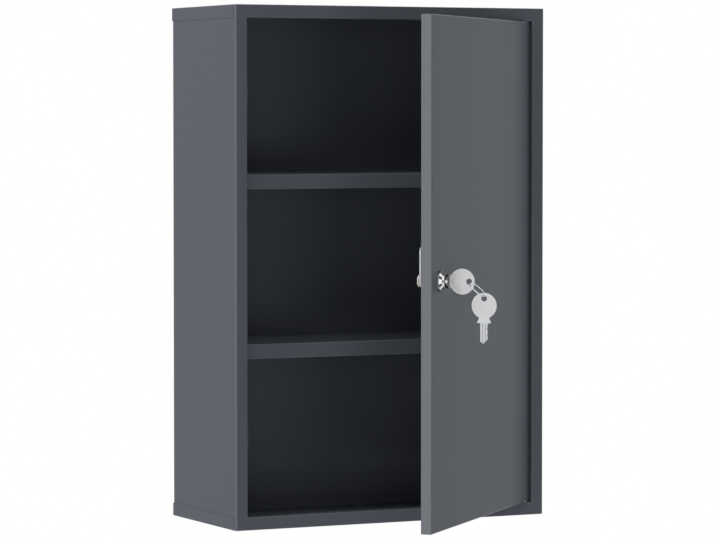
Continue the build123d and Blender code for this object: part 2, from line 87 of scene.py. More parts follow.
class SideOfCabinet(Enum):
    """The two side walls."""

    LEFT = "left"
    RIGHT = "right"


def joint(name: str) -> dict:
    """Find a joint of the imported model.

    Args:
        name: Name of the joint.

    Returns:
        The joint as the record states it.
    """
    return next(item for item in frame["joints"] if item["name"] == name)


def add_object(name: str, data: bpy.types.ID) -> bpy.types.Object:
    """Put a mesh, lamp or camera into the scene.

    Args:
        name: Name of the object.
        data: What it holds.

    Returns:
        The object.
    """
    made = bpy.data.objects.new(name, data)
    bpy.context.scene.collection.objects.link(made)
    return made


# Shader wiring


@dataclass
class Wiring:
    """Places and joins nodes in one shader tree.

    Args:
        tree: The node tree that the nodes go into.
    """

    tree: bpy.types.NodeTree

    def node(self, kind: str, **settings: object) -> Node:
        """Add a node.

        Args:
            kind: Blender's identifier of the node type.
            settings: Properties to set on the node.

        Returns:
            The new node.
        """
        made = self.tree.nodes.new(kind)
        for name, value in settings.items():
            setattr(made, name, value)
        return made

    def feed(self, socket: Socket, value: object) -> None:
        """Link a socket, or a plain number, colour or vector, into an input.

        Args:
            socket: The input to feed.
            value: An output socket, or a value for the input itself.
        """
        if isinstance(value, Socket):
            self.tree.links.new(value, socket)
        else:
            socket.default_value = value

    def coordinate(self, kind: str = "Object") -> Socket:
        """Read the surface: Object gives its place, and Normal the way it faces."""
        return self.node("ShaderNodeTexCoord").outputs[kind]

    def math(
        self, operation: str, first: object, second: object = 0.0, third: object = 0.0
    ) -> Socket:
        """Add a math node.

        Args:
            operation: The node's operation.
            first: Its first input.
            second: Its second input.
            third: Its third input.

        Returns:
            The node's output.
        """
        made = self.node("ShaderNodeMath", operation=operation)
        for socket, value in zip(made.inputs, (first, second, third)):
            self.feed(socket, value)
        return made.outputs[0]

    def span(
        self, value: object, low: object, high: object, to_low: object = 0.0, to_high: object = 1.0
    ) -> Socket:
        """Map a value from one range to another, held at the ends.

        Args:
            value: The value to map.
            low: Start of the range that comes in.
            high: End of the range that comes in.
            to_low: Result at low.
            to_high: Result at high.

        Returns:
            The mapped value.
        """
        made = self.node("ShaderNodeMapRange", interpolation_type="SMOOTHSTEP")
        for socket, item in zip(made.inputs, (value, low, high, to_low, to_high)):
            self.feed(socket, item)
        return made.outputs[0]

    def dot(self, first: object, second: object) -> Socket:
        """Measure one vector along another.

        Args:
            first: The vector.
            second: The direction.

        Returns:
            Their product.
        """
        made = self.node("ShaderNodeVectorMath", operation="DOT_PRODUCT")
        self.feed(made.inputs[0], first)
        self.feed(made.inputs[1], second)
        return made.outputs["Value"]

    def noise(self, place: object, scale: object, detail: float = 2.0, rough: float = 0.5) -> Socket:
        """Add a noise texture.

        Args:
            place: Where the texture is read.
            scale: Features for each metre.
            detail: Number of finer layers.
            rough: Strength of the finer layers.

        Returns:
            The noise's value.
        """
        made = self.node("ShaderNodeTexNoise")
        for name, value in (("Vector", place), ("Scale", scale), ("Detail", detail), ("Roughness", rough)):
            self.feed(made.inputs[name], value)
        return made.outputs["Fac"]

    def stretched(self, place: object, scale: Sequence[float]) -> Socket:
        """Scale a position along its axes.

        Args:
            place: The position.
            scale: Factor along each axis.

        Returns:
            The scaled position.
        """
        made = self.node("ShaderNodeMapping", vector_type="POINT")
        self.feed(made.inputs["Vector"], place)
        self.feed(made.inputs["Scale"], scale)
        return made.outputs["Vector"]

    def blend(self, share: object, below: object, above: Colour) -> Socket:
        """Lay a plain colour over another colour by a share.

        Args:
            share: Share of the upper colour.
            below: The colour underneath, plain or from a socket.
            above: The upper colour.

        Returns:
            The blended colour.
        """
        mix = self.node("ShaderNodeMix", data_type="RGBA")
        self.feed(mix.inputs[0], share)
        self.feed(mix.inputs[6], below if isinstance(below, Socket) else (*below, 1.0))
        self.feed(mix.inputs[7], (*above, 1.0))
        return mix.outputs[2]

    def mix_shaders(self, share: object, first: Socket, second: Socket) -> Socket:
        """Mix two shaders.

        Args:
            share: Share of the second shader.
            first: Shader at 0.
            second: Shader at 1.

        Returns:
            The mixed shader.
        """
        mix = self.node("ShaderNodeMixShader")
        for socket, value in zip(mix.inputs, (share, first, second)):
            self.feed(socket, value)
        return mix.outputs["Shader"]


def fresh_wiring(owner: bpy.types.ID) -> Wiring:
    """Empty the node tree of a material or a world.

    Args:
        owner: The material or world.

    Returns:
        Wiring of its empty tree.
    """
    owner.use_nodes = True
    owner.node_tree.nodes.clear()
    return Wiring(owner.node_tree)


@dataclass
class EffectGroup:
    """A shader node group that several finishes share, built the first time it is asked for.

    Args:
        name: Name of the group.
        inputs: Name and default of each number that goes in.
        outputs: Names of the numbers that come out.
        build: Fills the group from its wiring and its input node, and gives the outputs in order.
        made: The group's node tree, once it is built.
    """

    name: str
    inputs: dict[str, float]
    outputs: tuple[str, ...]
    build: Callable[[Wiring, Node], Sequence[Socket]]
    made: Optional[bpy.types.NodeTree] = None

    def tree(self) -> bpy.types.NodeTree:
        """Find the group's node tree, or build it the first time.

        Returns:
            The node tree.
        """
        if self.made is None:
            tree = bpy.data.node_groups.new(self.name, "ShaderNodeTree")
            for name, default in self.inputs.items():
                socket = tree.interface.new_socket(name=name, in_out="INPUT", socket_type="NodeSocketFloat")
                socket.default_value = default
            for name in self.outputs:
                tree.interface.new_socket(name=name, in_out="OUTPUT", socket_type="NodeSocketFloat")
            wiring = Wiring(tree)
            entry = wiring.node("NodeGroupInput")
            exit_node = wiring.node("NodeGroupOutput")
            for socket, value in zip(exit_node.inputs, self.build(wiring, entry)):
                wiring.feed(socket, value)
            self.made = tree
        return self.made

    def place(self, wiring: Wiring, **values: float) -> Node:
        """Place the group in a material.

        Args:
            wiring: Wiring of the material.
            values: Values for the group's inputs, with underscores for spaces.

        Returns:
            The group's node.
        """
        node = wiring.node("ShaderNodeGroup")
        node.node_tree = self.tree()
        for name, value in values.items():
            node.inputs[name.replace("_", " ")].default_value = value
        return node


# Noise values between which each mask of the powder coat goes from 0 to 1
MOTTLE_RANGE, SPECK_RANGE = (0.3, 0.7), (0.62, 0.74)
# How far the mottle is scaled along each axis, and how much finer the specks are than the orange peel
MOTTLE_STRETCH, SPECK_FINENESS = (1.0, 1.0, 0.35), 3.2


def build_powder_grain(wiring: Wiring, entry: Node) -> Sequence[Socket]:
    """Fill the powder coat group.

    Args:
        wiring: Wiring of the group.
        entry: The group's input node.

    Returns:
        Height of the orange peel, mask of the slow mottle, and mask of fine specks.
    """
    place = wiring.coordinate()
    peel = wiring.noise(place, entry.outputs["Peel Scale"], detail=2.5, rough=0.55)
    swell = wiring.noise(place, entry.outputs["Swell Scale"], detail=1.0, rough=0.4)
    height = wiring.math("MULTIPLY_ADD", swell, entry.outputs["Swell Share"], peel)
    streaked = wiring.stretched(place, MOTTLE_STRETCH)
    drift = wiring.noise(streaked, entry.outputs["Mottle Scale"], detail=3.0, rough=0.6)
    speck_scale = wiring.math("MULTIPLY", entry.outputs["Peel Scale"], SPECK_FINENESS)
    grain = wiring.noise(place, speck_scale, detail=1.0)
    return height, wiring.span(drift, *MOTTLE_RANGE), wiring.span(grain, *SPECK_RANGE)


# How far each kind of line is scaled along the three axes
FINE_STRETCH, COARSE_STRETCH, SCRATCH_STRETCH = (1.0, 1.0, 9.0), (1.0, 6.0, 1.0), (1.0, 0.25, 0.6)
# Noise values between which the smudges, and the patches that hold scratches, go from 0 to 1
SMUDGE_RANGE, SCRATCHED_RANGE = (0.42, 0.68), (0.5, 0.62)
# Share of the coarse lines, half the width of a scratch, and how much finer its patches are than the smudges
COARSE_SHARE, SCRATCH_HALF, SCRATCHED_FINENESS = 0.5, 0.02, 2.0


def build_handled_metal(wiring: Wiring, entry: Node) -> Sequence[Socket]:
    """Fill the group of a plated or bare metal that hands and tools have touched.

    Args:
        wiring: Wiring of the group.
        entry: The group's input node.

    Returns:
        Height of the surface lines, mask of the smudges, and mask of hairline scratches.
    """
    place = wiring.coordinate()
    line_scale, smudge_scale = entry.outputs["Line Scale"], entry.outputs["Smudge Scale"]
    fine = wiring.noise(wiring.stretched(place, FINE_STRETCH), line_scale, detail=3.0, rough=0.6)
    coarse = wiring.noise(wiring.stretched(place, COARSE_STRETCH), line_scale)
    height = wiring.math("MULTIPLY_ADD", coarse, COARSE_SHARE, fine)
    patches = wiring.noise(place, smudge_scale, detail=4.0, rough=0.62)
    lines = wiring.node("ShaderNodeTexVoronoi", feature="DISTANCE_TO_EDGE")
    wiring.feed(lines.inputs["Vector"], wiring.stretched(place, SCRATCH_STRETCH))
    wiring.feed(lines.inputs["Scale"], entry.outputs["Scratch Scale"])
    scratch = wiring.span(lines.outputs["Distance"], 0.0, SCRATCH_HALF, 1.0, 0.0)
    thin = wiring.noise(place, wiring.math("MULTIPLY", smudge_scale, SCRATCHED_FINENESS))
    scratch = wiring.math("MULTIPLY", scratch, wiring.span(thin, *SCRATCHED_RANGE))
    return height, wiring.span(patches, *SMUDGE_RANGE), scratch


# How far the surface turns from its rounded copy along an edge, and the noise that breaks the edge up
EDGE_BEND, EDGE_BREAKS = (0.02, 0.25), (0.35, 0.65)
# What is left of the edge where it is broken
BROKEN_EDGE = 0.35


# Mask for lighter edges: a painted highlight on the powder coat, and worn metal with a painted highlight on the
# metals.
def build_edge_wear_and_highlight(wiring: Wiring, entry: Node) -> Sequence[Socket]:
    """Fill the edge group, which compares the surface with a rounded copy of itself.

    Args:
        wiring: Wiring of the group.
        entry: The group's input node.

    Returns:
        Mask of the outer edges, broken up by noise.
    """
    rounded = wiring.node("ShaderNodeBevel", samples=4)
    wiring.feed(rounded.inputs["Radius"], entry.outputs["Width"])
    flat = wiring.node("ShaderNodeNewGeometry").outputs["Normal"]
    bend = wiring.math("SUBTRACT", 1.0, wiring.dot(rounded.outputs["Normal"], flat))
    broken = wiring.noise(wiring.coordinate(), entry.outputs["Break Scale"], detail=3.0, rough=0.6)
    left = wiring.span(broken, *EDGE_BREAKS, BROKEN_EDGE, 1.0)
    return (wiring.math("MULTIPLY", wiring.span(bend, *EDGE_BEND), left),)


# How squarely a face looks along one axis, from bent to flat
BENT_FACING = (0.93, 0.995)
# How squarely a face looks along the panel's negative X, and how far its rear bend counts as that face
SIDE_FACING, REAR_BEND = (-0.995, -0.95), -0.6


def build_bent_edges(wiring: Wiring, entry: Node) -> Sequence[Socket]:
    """Fill the group that finds the bends of the sheet from the way the surface faces.

    Args:
        wiring: Wiring of the group.
        entry: The group's input node.

    Returns:
        Mask of the bends, which take a painted highlight, and mask of the faces that look along the
        panel's own negative X, with their rear bend, which take a lighter painted lit tone.
    """
    turned = wiring.node("ShaderNodeVectorRotate", rotation_type="Z_AXIS")
    wiring.feed(turned.inputs["Vector"], wiring.coordinate("Normal"))
    wiring.feed(turned.inputs["Angle"], wiring.math("MULTIPLY", entry.outputs["Panel Turn"], -1.0))
    parts = wiring.node("ShaderNodeSeparateXYZ")
    wiring.feed(parts.inputs[0], turned.outputs["Vector"])
    sizes = [wiring.math("ABSOLUTE", part) for part in parts.outputs]
    flattest = wiring.math("MAXIMUM", wiring.math("MAXIMUM", sizes[0], sizes[1]), sizes[2])
    behind = wiring.math("MULTIPLY_ADD", parts.outputs[1], REAR_BEND, parts.outputs[0])
    return wiring.span(flattest, *BENT_FACING, 1.0, 0.0), wiring.span(behind, *SIDE_FACING, 1.0, 0.0)


def build_recesses(wiring: Wiring, entry: Node) -> Sequence[Socket]:
    """Fill the group that finds how far the surface lies from the middle plane of the keys.

    Args:
        wiring: Wiring of the group.
        entry: The group's input node.

    Returns:
        Mask of the deep grooves, and mask of the raised rims and ridges.
    """
    turn = joint("lock_turn")
    plane = UP.cross(Vector(turn["axis"]))
    away = wiring.dot(wiring.coordinate(), plane)
    depth = wiring.math("ABSOLUTE", wiring.math("SUBTRACT", away, plane.dot(Vector(turn["pos_m"]))))
    floor = entry.outputs["Floor Depth"]
    painted_groove_shade = wiring.span(depth, entry.outputs["Groove Depth"], floor, 1.0, 0.0)
    return painted_groove_shade, wiring.span(depth, floor, entry.outputs["Rim Depth"])


# Where each painted reflection stripe starts or ends, as the part of the surface's facing that points up or down
INNER_BAND_START, INNER_BAND_END, OUTER_BAND_START = (0.17, 0.21), (0.40, 0.45), (0.58, 0.62)
WALL_MIDDLE_END, WALL_ENDS_START = (0.13, 0.24), (0.72, 0.84)
# The part of the facing that points outward, up to which it is a wall, and from which it is a flat front
WALL_FACING, FRONT_FACING = (0.2, 0.5), (0.9, 0.97)
# Height of the flange's top above the door, in metres
FLANGE_TOP = (0.0022, 0.0026)
# Waves in the bands for each metre
WAVER_SCALE = 260.0


def build_painted_lock_bands(wiring: Wiring, entry: Node) -> Sequence[Socket]:
    """Fill the group of the painted reflection bands that polished metal would show round the lock's axis.

    Args:
        wiring: Wiring of the group.
        entry: The group's input node.

    Returns:
        Masks of the bands on sloping faces, of the middle of the walls above the flange, and of the
        walls' ends.
    """
    turn = joint("lock_turn")
    outward = Vector(turn["axis"])
    place, normal = wiring.coordinate(), wiring.coordinate("Normal")
    facing = wiring.dot(normal, outward)
    height = wiring.math("SUBTRACT", wiring.dot(place, outward), outward.dot(Vector(turn["pos_m"])))
    waver = wiring.math("SUBTRACT", wiring.noise(place, WAVER_SCALE, detail=1.0), 0.5)
    steep = wiring.math("ABSOLUTE", wiring.dot(normal, UP))
    rise = wiring.math("MULTIPLY_ADD", waver, entry.outputs["Waver"], steep)
    wall = wiring.span(facing, *WALL_FACING, 1.0, 0.0)
    slope = wiring.math("SUBTRACT", wiring.span(facing, *FRONT_FACING, 1.0, 0.0), wall)
    inner = wiring.math("MULTIPLY", wiring.span(rise, *INNER_BAND_START),
                        wiring.span(rise, *INNER_BAND_END, 1.0, 0.0))
    outer = wiring.span(rise, *OUTER_BAND_START)
    bands = wiring.math("MULTIPLY", slope, wiring.math("MAXIMUM", inner, outer))
    upper_wall = wiring.math("MULTIPLY", wall, wiring.span(height, *FLANGE_TOP))
    middle = wiring.math("MULTIPLY", upper_wall, wiring.span(rise, *WALL_MIDDLE_END, 1.0, 0.0))
    return bands, middle, wiring.math("MULTIPLY", wall, wiring.span(rise, *WALL_ENDS_START))


POWDER_GRAIN = EffectGroup(
    "powder_grain",
    {"Peel Scale": 620.0, "Swell Scale": 90.0, "Swell Share": 0.8, "Mottle Scale": 7.0},
    ("Height", "Mottle", "Specks"),
    build_powder_grain,
)
HANDLED_METAL = EffectGroup(
    "handled_metal",
    {"Line Scale": 900.0, "Smudge Scale": 60.0, "Scratch Scale": 140.0},
    ("Height", "Smudge", "Scratch"),
    build_handled_metal,
)
EDGE_WEAR_AND_HIGHLIGHT = EffectGroup("edge_wear_and_highlight", {"Width": 0.0006, "Break Scale": 120.0}, ("Edge",), build_edge_wear_and_highlight)
BENT_EDGES = EffectGroup("bent_edges", {"Panel Turn": 0.0}, ("Bend", "Side"), build_bent_edges)
RECESSES = EffectGroup(
    "recesses",
    {"Groove Depth": 0.0006, "Floor Depth": 0.00082, "Rim Depth": 0.00096},
    ("Groove", "Raised"),
    build_recesses,
)
PAINTED_LOCK_BANDS = EffectGroup(
    "painted_lock_bands", {"Waver": 0.04}, ("Bands", "Middle", "Ends"), build_painted_lock_bands,
)


# Finishes


@dataclass(frozen=True)
class Finish:
    """A surface finish, made into a material once.

    Args:
        name: Name of the material, and of the record's slot where no other is given.
    """

    name: str

    @property
    def slot(self) -> str:
        """Name of the record's slot."""
        return self.name

    def material(self) -> bpy.types.Material:
        """Find the finish's material, or build it the first time.

        Returns:
            The material.
        """
        known = bpy.data.materials.get("finish_" + self.name)
        if known:
            return known
        made = bpy.data.materials.new("finish_" + self.name)
        wiring = fresh_wiring(made)
        shader = wiring.node("ShaderNodeBsdfPrincipled")
        wiring.feed(wiring.node("ShaderNodeOutputMaterial").inputs["Surface"], shader.outputs["BSDF"])
        self.fill(wiring, shader)
        return made

    def fill(self, wiring: Wiring, shader: Node) -> None:
        """Feed the shader; each kind of finish does it in its own way.

        Args:
            wiring: Wiring of the material.
            shader: The Principled shader.
        """
        raise NotImplementedError

    def bump(self, wiring: Wiring, shader: Node, height: object, depth: float, strength: float) -> None:
        """Drive the shader's normal with a height.

        Args:
            wiring: Wiring of the material.
            shader: The Principled shader.
            height: The height, from 0 to about 1.
            depth: Real depth of that height, in metres.
            strength: How far the bump is followed.
        """
        node = wiring.node("ShaderNodeBump")
        for name, value in (("Strength", strength), ("Distance", depth), ("Height", height)):
            wiring.feed(node.inputs[name], value)
        wiring.feed(shader.inputs["Normal"], node.outputs["Normal"])


@dataclass(frozen=True)
class PowderCoat(Finish):
    """Satin powder coat on sheet steel, with painted highlights along bends and edges and a lighter painted tone
    on the lit side.

    Args:
        colour: Main colour.
        pale: Colour of the paler parts of the mottle.
        painted_edge_highlight: Painted highlight colour along bends and sharp edges.
        side: Painted lit tone of the faces that look along the panel's own negative X, lighter as the side the
            light falls on.
        turn: Direction of the panel's X axis in its stored pose, in degrees.
        roughness: Mean roughness.
        specular: Strength of the reflection.
        edge_width: Width of the painted highlight along a sharp edge, in metres.
        edge_share: How strong the painted highlight is there.
        peel_depth: Depth of the orange peel, in metres.
        peel_strength: How far the orange peel is followed.
        mottle_roughness: How much rougher or smoother the mottle is than the mean.
        speck_roughness: How much rougher the specks are.
    """

    colour: Colour = (0.106, 0.117, 0.136)
    pale: Colour = (0.110, 0.121, 0.140)
    painted_edge_highlight: Colour = (0.160, 0.174, 0.197)
    side: Colour = (0.112, 0.124, 0.142)
    turn: float = 0.0
    roughness: float = 0.30
    specular: float = 0.03
    edge_width: float = 0.0008
    edge_share: float = 0.4
    peel_depth: float = 0.00004
    peel_strength: float = 0.25
    mottle_roughness: float = 0.01
    speck_roughness: float = 0.03

    @property
    def slot(self) -> str:
        """Name of the record's slot, which both paints share."""
        return "paint"

    def fill(self, wiring: Wiring, shader: Node) -> None:
        """Feed the shader with powder coat.

        Args:
            wiring: Wiring of the material.
            shader: The Principled shader.
        """
        grain = POWDER_GRAIN.place(wiring)
        edges = EDGE_WEAR_AND_HIGHLIGHT.place(wiring, Width=self.edge_width)
        bends = BENT_EDGES.place(wiring, Panel_Turn=math.radians(self.turn))
        body = wiring.blend(grain.outputs["Mottle"], self.colour, self.pale)
        # Painted light: faces that look along the panel's negative X take the lighter painted tone of the lit
        # side.
        body = wiring.blend(bends.outputs["Side"], body, self.side)
        # Painted highlight: bends and sharp edges take the lighter painted highlight colour over the body colour.
        edge = wiring.math("MULTIPLY", edges.outputs["Edge"], self.edge_share)
        thin = wiring.math("MAXIMUM", edge, bends.outputs["Bend"])
        wiring.feed(shader.inputs["Base Color"], wiring.blend(thin, body, self.painted_edge_highlight))
        smooth, rough = self.roughness - self.mottle_roughness, self.roughness + self.mottle_roughness
        gloss = wiring.span(grain.outputs["Mottle"], 0.0, 1.0, smooth, rough)
        specked = wiring.math("MULTIPLY_ADD", grain.outputs["Specks"], self.speck_roughness, gloss)
        wiring.feed(shader.inputs["Roughness"], specked)
        shader.inputs["Specular IOR Level"].default_value = self.specular
        self.bump(wiring, shader, grain.outputs["Height"], self.peel_depth, self.peel_strength)


@dataclass(frozen=True)
class PlatedMetal(Finish):
    """Bare or plated metal with fine lines, smudges, hairline scratches and lighter edges, partly worn and partly
    painted highlight.

    Args:
        colour: Colour of the clean metal.
        dull: Colour where it is smudged or worn.
        roughness: Roughness of the clean metal.
        dull_roughness: Roughness where it is smudged.
        line_scale: Lines for each metre.
        line_depth: Depth of the lines, in metres.
        smudge_scale: Smudges for each metre.
        metallic: How far it reflects like a mirror instead of scattering the light.
        edge_width: Width of the worn and highlighted edges, in metres.
        edge_share: How far they are worn and highlighted.
        edge_break: Breaks in these edges for each metre.
        edge_shine: How much brighter than the clean metal they are, as worn metal and as a painted highlight.
        scratch_roughness: How much rougher the scratches are.
        line_strength: How far the lines are followed.
    """

    colour: Colour = (0.62, 0.62, 0.63)
    dull: Colour = (0.5, 0.5, 0.5)
    roughness: float = 0.15
    dull_roughness: float = 0.3
    line_scale: float = 900.0
    line_depth: float = 0.00002
    smudge_scale: float = 60.0
    metallic: float = 1.0
    edge_width: float = 0.0003
    edge_share: float = 0.6
    edge_break: float = 400.0
    edge_shine: float = 1.15
    scratch_roughness: float = 0.1
    line_strength: float = 0.6

    def fill(self, wiring: Wiring, shader: Node) -> None:
        """Feed the shader with metal.

        Args:
            wiring: Wiring of the material.
            shader: The Principled shader.
        """
        wear = HANDLED_METAL.place(wiring, Line_Scale=self.line_scale, Smudge_Scale=self.smudge_scale)
        edges = EDGE_WEAR_AND_HIGHLIGHT.place(wiring, Width=self.edge_width, Break_Scale=self.edge_break)
        body = self.tint(wiring, wiring.blend(wear.outputs["Smudge"], self.colour, self.dull))
        # Edges are lighter partly as worn metal and partly as a painted highlight.
        shine = tuple(min(1.0, part * self.edge_shine) for part in self.colour)
        worn_and_highlighted = wiring.math("MULTIPLY", edges.outputs["Edge"], self.edge_share)
        wiring.feed(shader.inputs["Base Color"], wiring.blend(worn_and_highlighted, body, shine))
        soft = wiring.span(wear.outputs["Smudge"], 0.0, 1.0, self.roughness, self.dull_roughness)
        scratched = wiring.math("MULTIPLY_ADD", wear.outputs["Scratch"], self.scratch_roughness, soft)
        wiring.feed(shader.inputs["Roughness"], scratched)
        shader.inputs["Metallic"].default_value = self.metallic
        self.bump(wiring, shader, wear.outputs["Height"], self.line_depth, self.line_strength)

    def tint(self, wiring: Wiring, body: Socket) -> Socket:
        """Change the colour where a kind of metal needs it.

        Args:
            wiring: Wiring of the material.
            body: Colour of the metal.

        Returns:
            The same colour, for an even metal.
        """
        return body


@dataclass(frozen=True)
class KeyMetal(PlatedMetal):
    """Satin metal of the keys, with a painted highlight on the raised rims and painted shade in the grooves.

    Args:
        raised: Painted highlight colour of the raised rims and ridges.
        painted_groove_shade: Painted shade colour in the grooves of the blade.
    """

    raised: Colour = (0.7, 0.7, 0.7)
    painted_groove_shade: Colour = (0.2, 0.2, 0.2)

    def tint(self, wiring: Wiring, body: Socket) -> Socket:
        """Paint a highlight on the raised parts and shade in the grooves of the keys.

        Args:
            wiring: Wiring of the material.
            body: Colour of the metal.

        Returns:
            The toned colour.
        """
        levels = RECESSES.place(wiring)
        body = wiring.blend(levels.outputs["Raised"], body, self.raised)
        return wiring.blend(levels.outputs["Groove"], body, self.painted_groove_shade)


@dataclass(frozen=True)
class MetalWithPaintedReflections(PlatedMetal):
    """Polished metal with a painted reflection: the dark of a room laid into its colour in bands round the lock.

    Args:
        painted_reflection_colour: Painted reflection colour in the bands.
        shares: How far the bands, the middle and the ends take that colour.
    """

    painted_reflection_colour: Colour = (0.03, 0.03, 0.032)
    shares: tuple[float, float, float] = (0.95, 0.9, 0.8)

    def tint(self, wiring: Wiring, body: Socket) -> Socket:
        """Lay the painted reflection bands over the metal.

        Args:
            wiring: Wiring of the material.
            body: Colour of the metal.

        Returns:
            The toned colour.
        """
        painted_band_masks = PAINTED_LOCK_BANDS.place(wiring)
        whole: object = 0.0
        for output, share in zip(painted_band_masks.outputs, self.shares):
            whole = wiring.math("MAXIMUM", whole, wiring.math("MULTIPLY", output, share))
        return wiring.blend(whole, body, self.painted_reflection_colour)


@dataclass(frozen=True)
class MouldedPart(Finish):
    """Moulded plastic or rubber with a fine texture.

    Args:
        colour: Main colour.
        worn: Colour where it is worn or dusty.
        roughness: Mean roughness.
        texture_scale: Grains of the texture for each metre.
        texture_depth: Depth of the texture, in metres.
        texture_strength: How far the texture is followed.
        swell_scale: Swells of the surface for each metre.
        mottle_scale: Patches of wear for each metre.
        smoother: How much smoother the clean plastic is than the mean.
        rougher: How much rougher the worn plastic is than the mean.
    """

    colour: Colour = (0.7, 0.69, 0.65)
    worn: Colour = (0.6, 0.59, 0.55)
    roughness: float = 0.5
    texture_scale: float = 2600.0
    texture_depth: float = 0.00005
    texture_strength: float = 0.6
    swell_scale: float = 300.0
    mottle_scale: float = 90.0
    smoother: float = 0.05
    rougher: float = 0.1

    def fill(self, wiring: Wiring, shader: Node) -> None:
        """Feed the shader with moulded plastic.

        Args:
            wiring: Wiring of the material.
            shader: The Principled shader.
        """
        grain = POWDER_GRAIN.place(
            wiring, Peel_Scale=self.texture_scale, Swell_Scale=self.swell_scale,
            Mottle_Scale=self.mottle_scale)
        share = wiring.math("MAXIMUM", grain.outputs["Mottle"], grain.outputs["Specks"])
        wiring.feed(shader.inputs["Base Color"], wiring.blend(share, self.colour, self.worn))
        smooth, rough = self.roughness - self.smoother, self.roughness + self.rougher
        wiring.feed(shader.inputs["Roughness"], wiring.span(grain.outputs["Mottle"], 0.0, 1.0, smooth, rough))
        self.bump(wiring, shader, grain.outputs["Height"], self.texture_depth, self.texture_strength)


DOOR_ANGLE = -joint("door_hinge")["range_deg"][0]
# The cabinet's paint has a slightly lighter painted tone on its lit left side and painted highlights on its bends.
PAINT = PowderCoat("paint")
# Painted shade and light: the door's paint is a darker copy of the cabinet's paint, and its free edge, facing
# along the door's negative X, has a much lighter painted tone where it catches the light.
DOOR_PAINT_WITH_PAINTED_LIGHT = PowderCoat(
    "door_paint_with_painted_light", (0.095, 0.105, 0.122), (0.099, 0.109, 0.126), side=(0.188, 0.202, 0.219), turn=DOOR_ANGLE,
)
BRIGHT_STEEL = PlatedMetal("bright_steel", (0.56, 0.56, 0.57), (0.42, 0.42, 0.42), 0.28, 0.42)
ZINC_PLATE = PlatedMetal("zinc_plate", (0.62, 0.62, 0.61), (0.5, 0.5, 0.49), 0.26, 0.4, smudge_scale=140.0)
# The keys' raised colour is a painted highlight on rims and ridges, and their groove colour is painted shade in
# the grooves.
KEY_NICKEL = KeyMetal(
    "key_nickel", (0.655, 0.655, 0.655), (0.615, 0.615, 0.615), 0.34, 0.46, 1500.0, 0.00001, 90.0,
    metallic=0.35, raised=(0.66, 0.675, 0.70), painted_groove_shade=(0.40, 0.40, 0.40),
)
RING_STEEL = PlatedMetal("ring_steel", (0.88, 0.88, 0.89), (0.78, 0.78, 0.78), 0.14, 0.25, 2400.0, 0.00001)
# The lock's chrome has dark painted reflection bands on its cone and walls.
LOCK_CHROME = MetalWithPaintedReflections("lock_chrome", (0.93, 0.93, 0.94), (0.84, 0.84, 0.85), 0.06, 0.12, 1800.0, 0.000004)
# The plug's dark colour stands in for the dark that its polished nose mirrors, and its light middle stripe is a
# painted highlight.
PLUG_NICKEL = MetalWithPaintedReflections(
    "plug_nickel", (0.150, 0.146, 0.138), (0.125, 0.122, 0.115), 0.2, 0.3, 1800.0, 0.000008,
    painted_reflection_colour=(0.72, 0.71, 0.69), shares=(0.0, 0.95, 0.0),
)
PLUG_BRASS = PlatedMetal("plug_brass", (0.60, 0.44, 0.20), (0.42, 0.31, 0.15), 0.22, 0.4, 1500.0, 0.00001)
NYLON = MouldedPart("nylon", (0.74, 0.73, 0.69), (0.62, 0.61, 0.57), 0.45)
BUFFER_RUBBER = MouldedPart("buffer_rubber", (0.022, 0.022, 0.023), (0.045, 0.044, 0.043), 0.7, 3400.0)

SLOT_FINISHES: dict[str, Finish] = {
    finish.name: finish
    for finish in (
        PAINT, BRIGHT_STEEL, ZINC_PLATE, KEY_NICKEL, RING_STEEL, LOCK_CHROME, PLUG_NICKEL, PLUG_BRASS, NYLON,
        BUFFER_RUBBER,
    )
}


def dress(nodes: Iterable[str], finish: Optional[Finish] = None) -> None:
    """Give CAD nodes the finish of their material slot, or another one.

    Args:
        nodes: Names of the nodes.
        finish: The finish, where it isn't the slot's own.
    """
    slots = {item["node"]: item["material_slot"] for item in frame["record"]["subparts"]}
    for name in nodes:
        chosen = finish or SLOT_FINISHES[slots[name]]
        materials = frame["nodes"][name].data.materials
        materials.clear()
        materials.append(chosen.material())
        log.info("node %s: %s", name, chosen.name)


# Mesh work


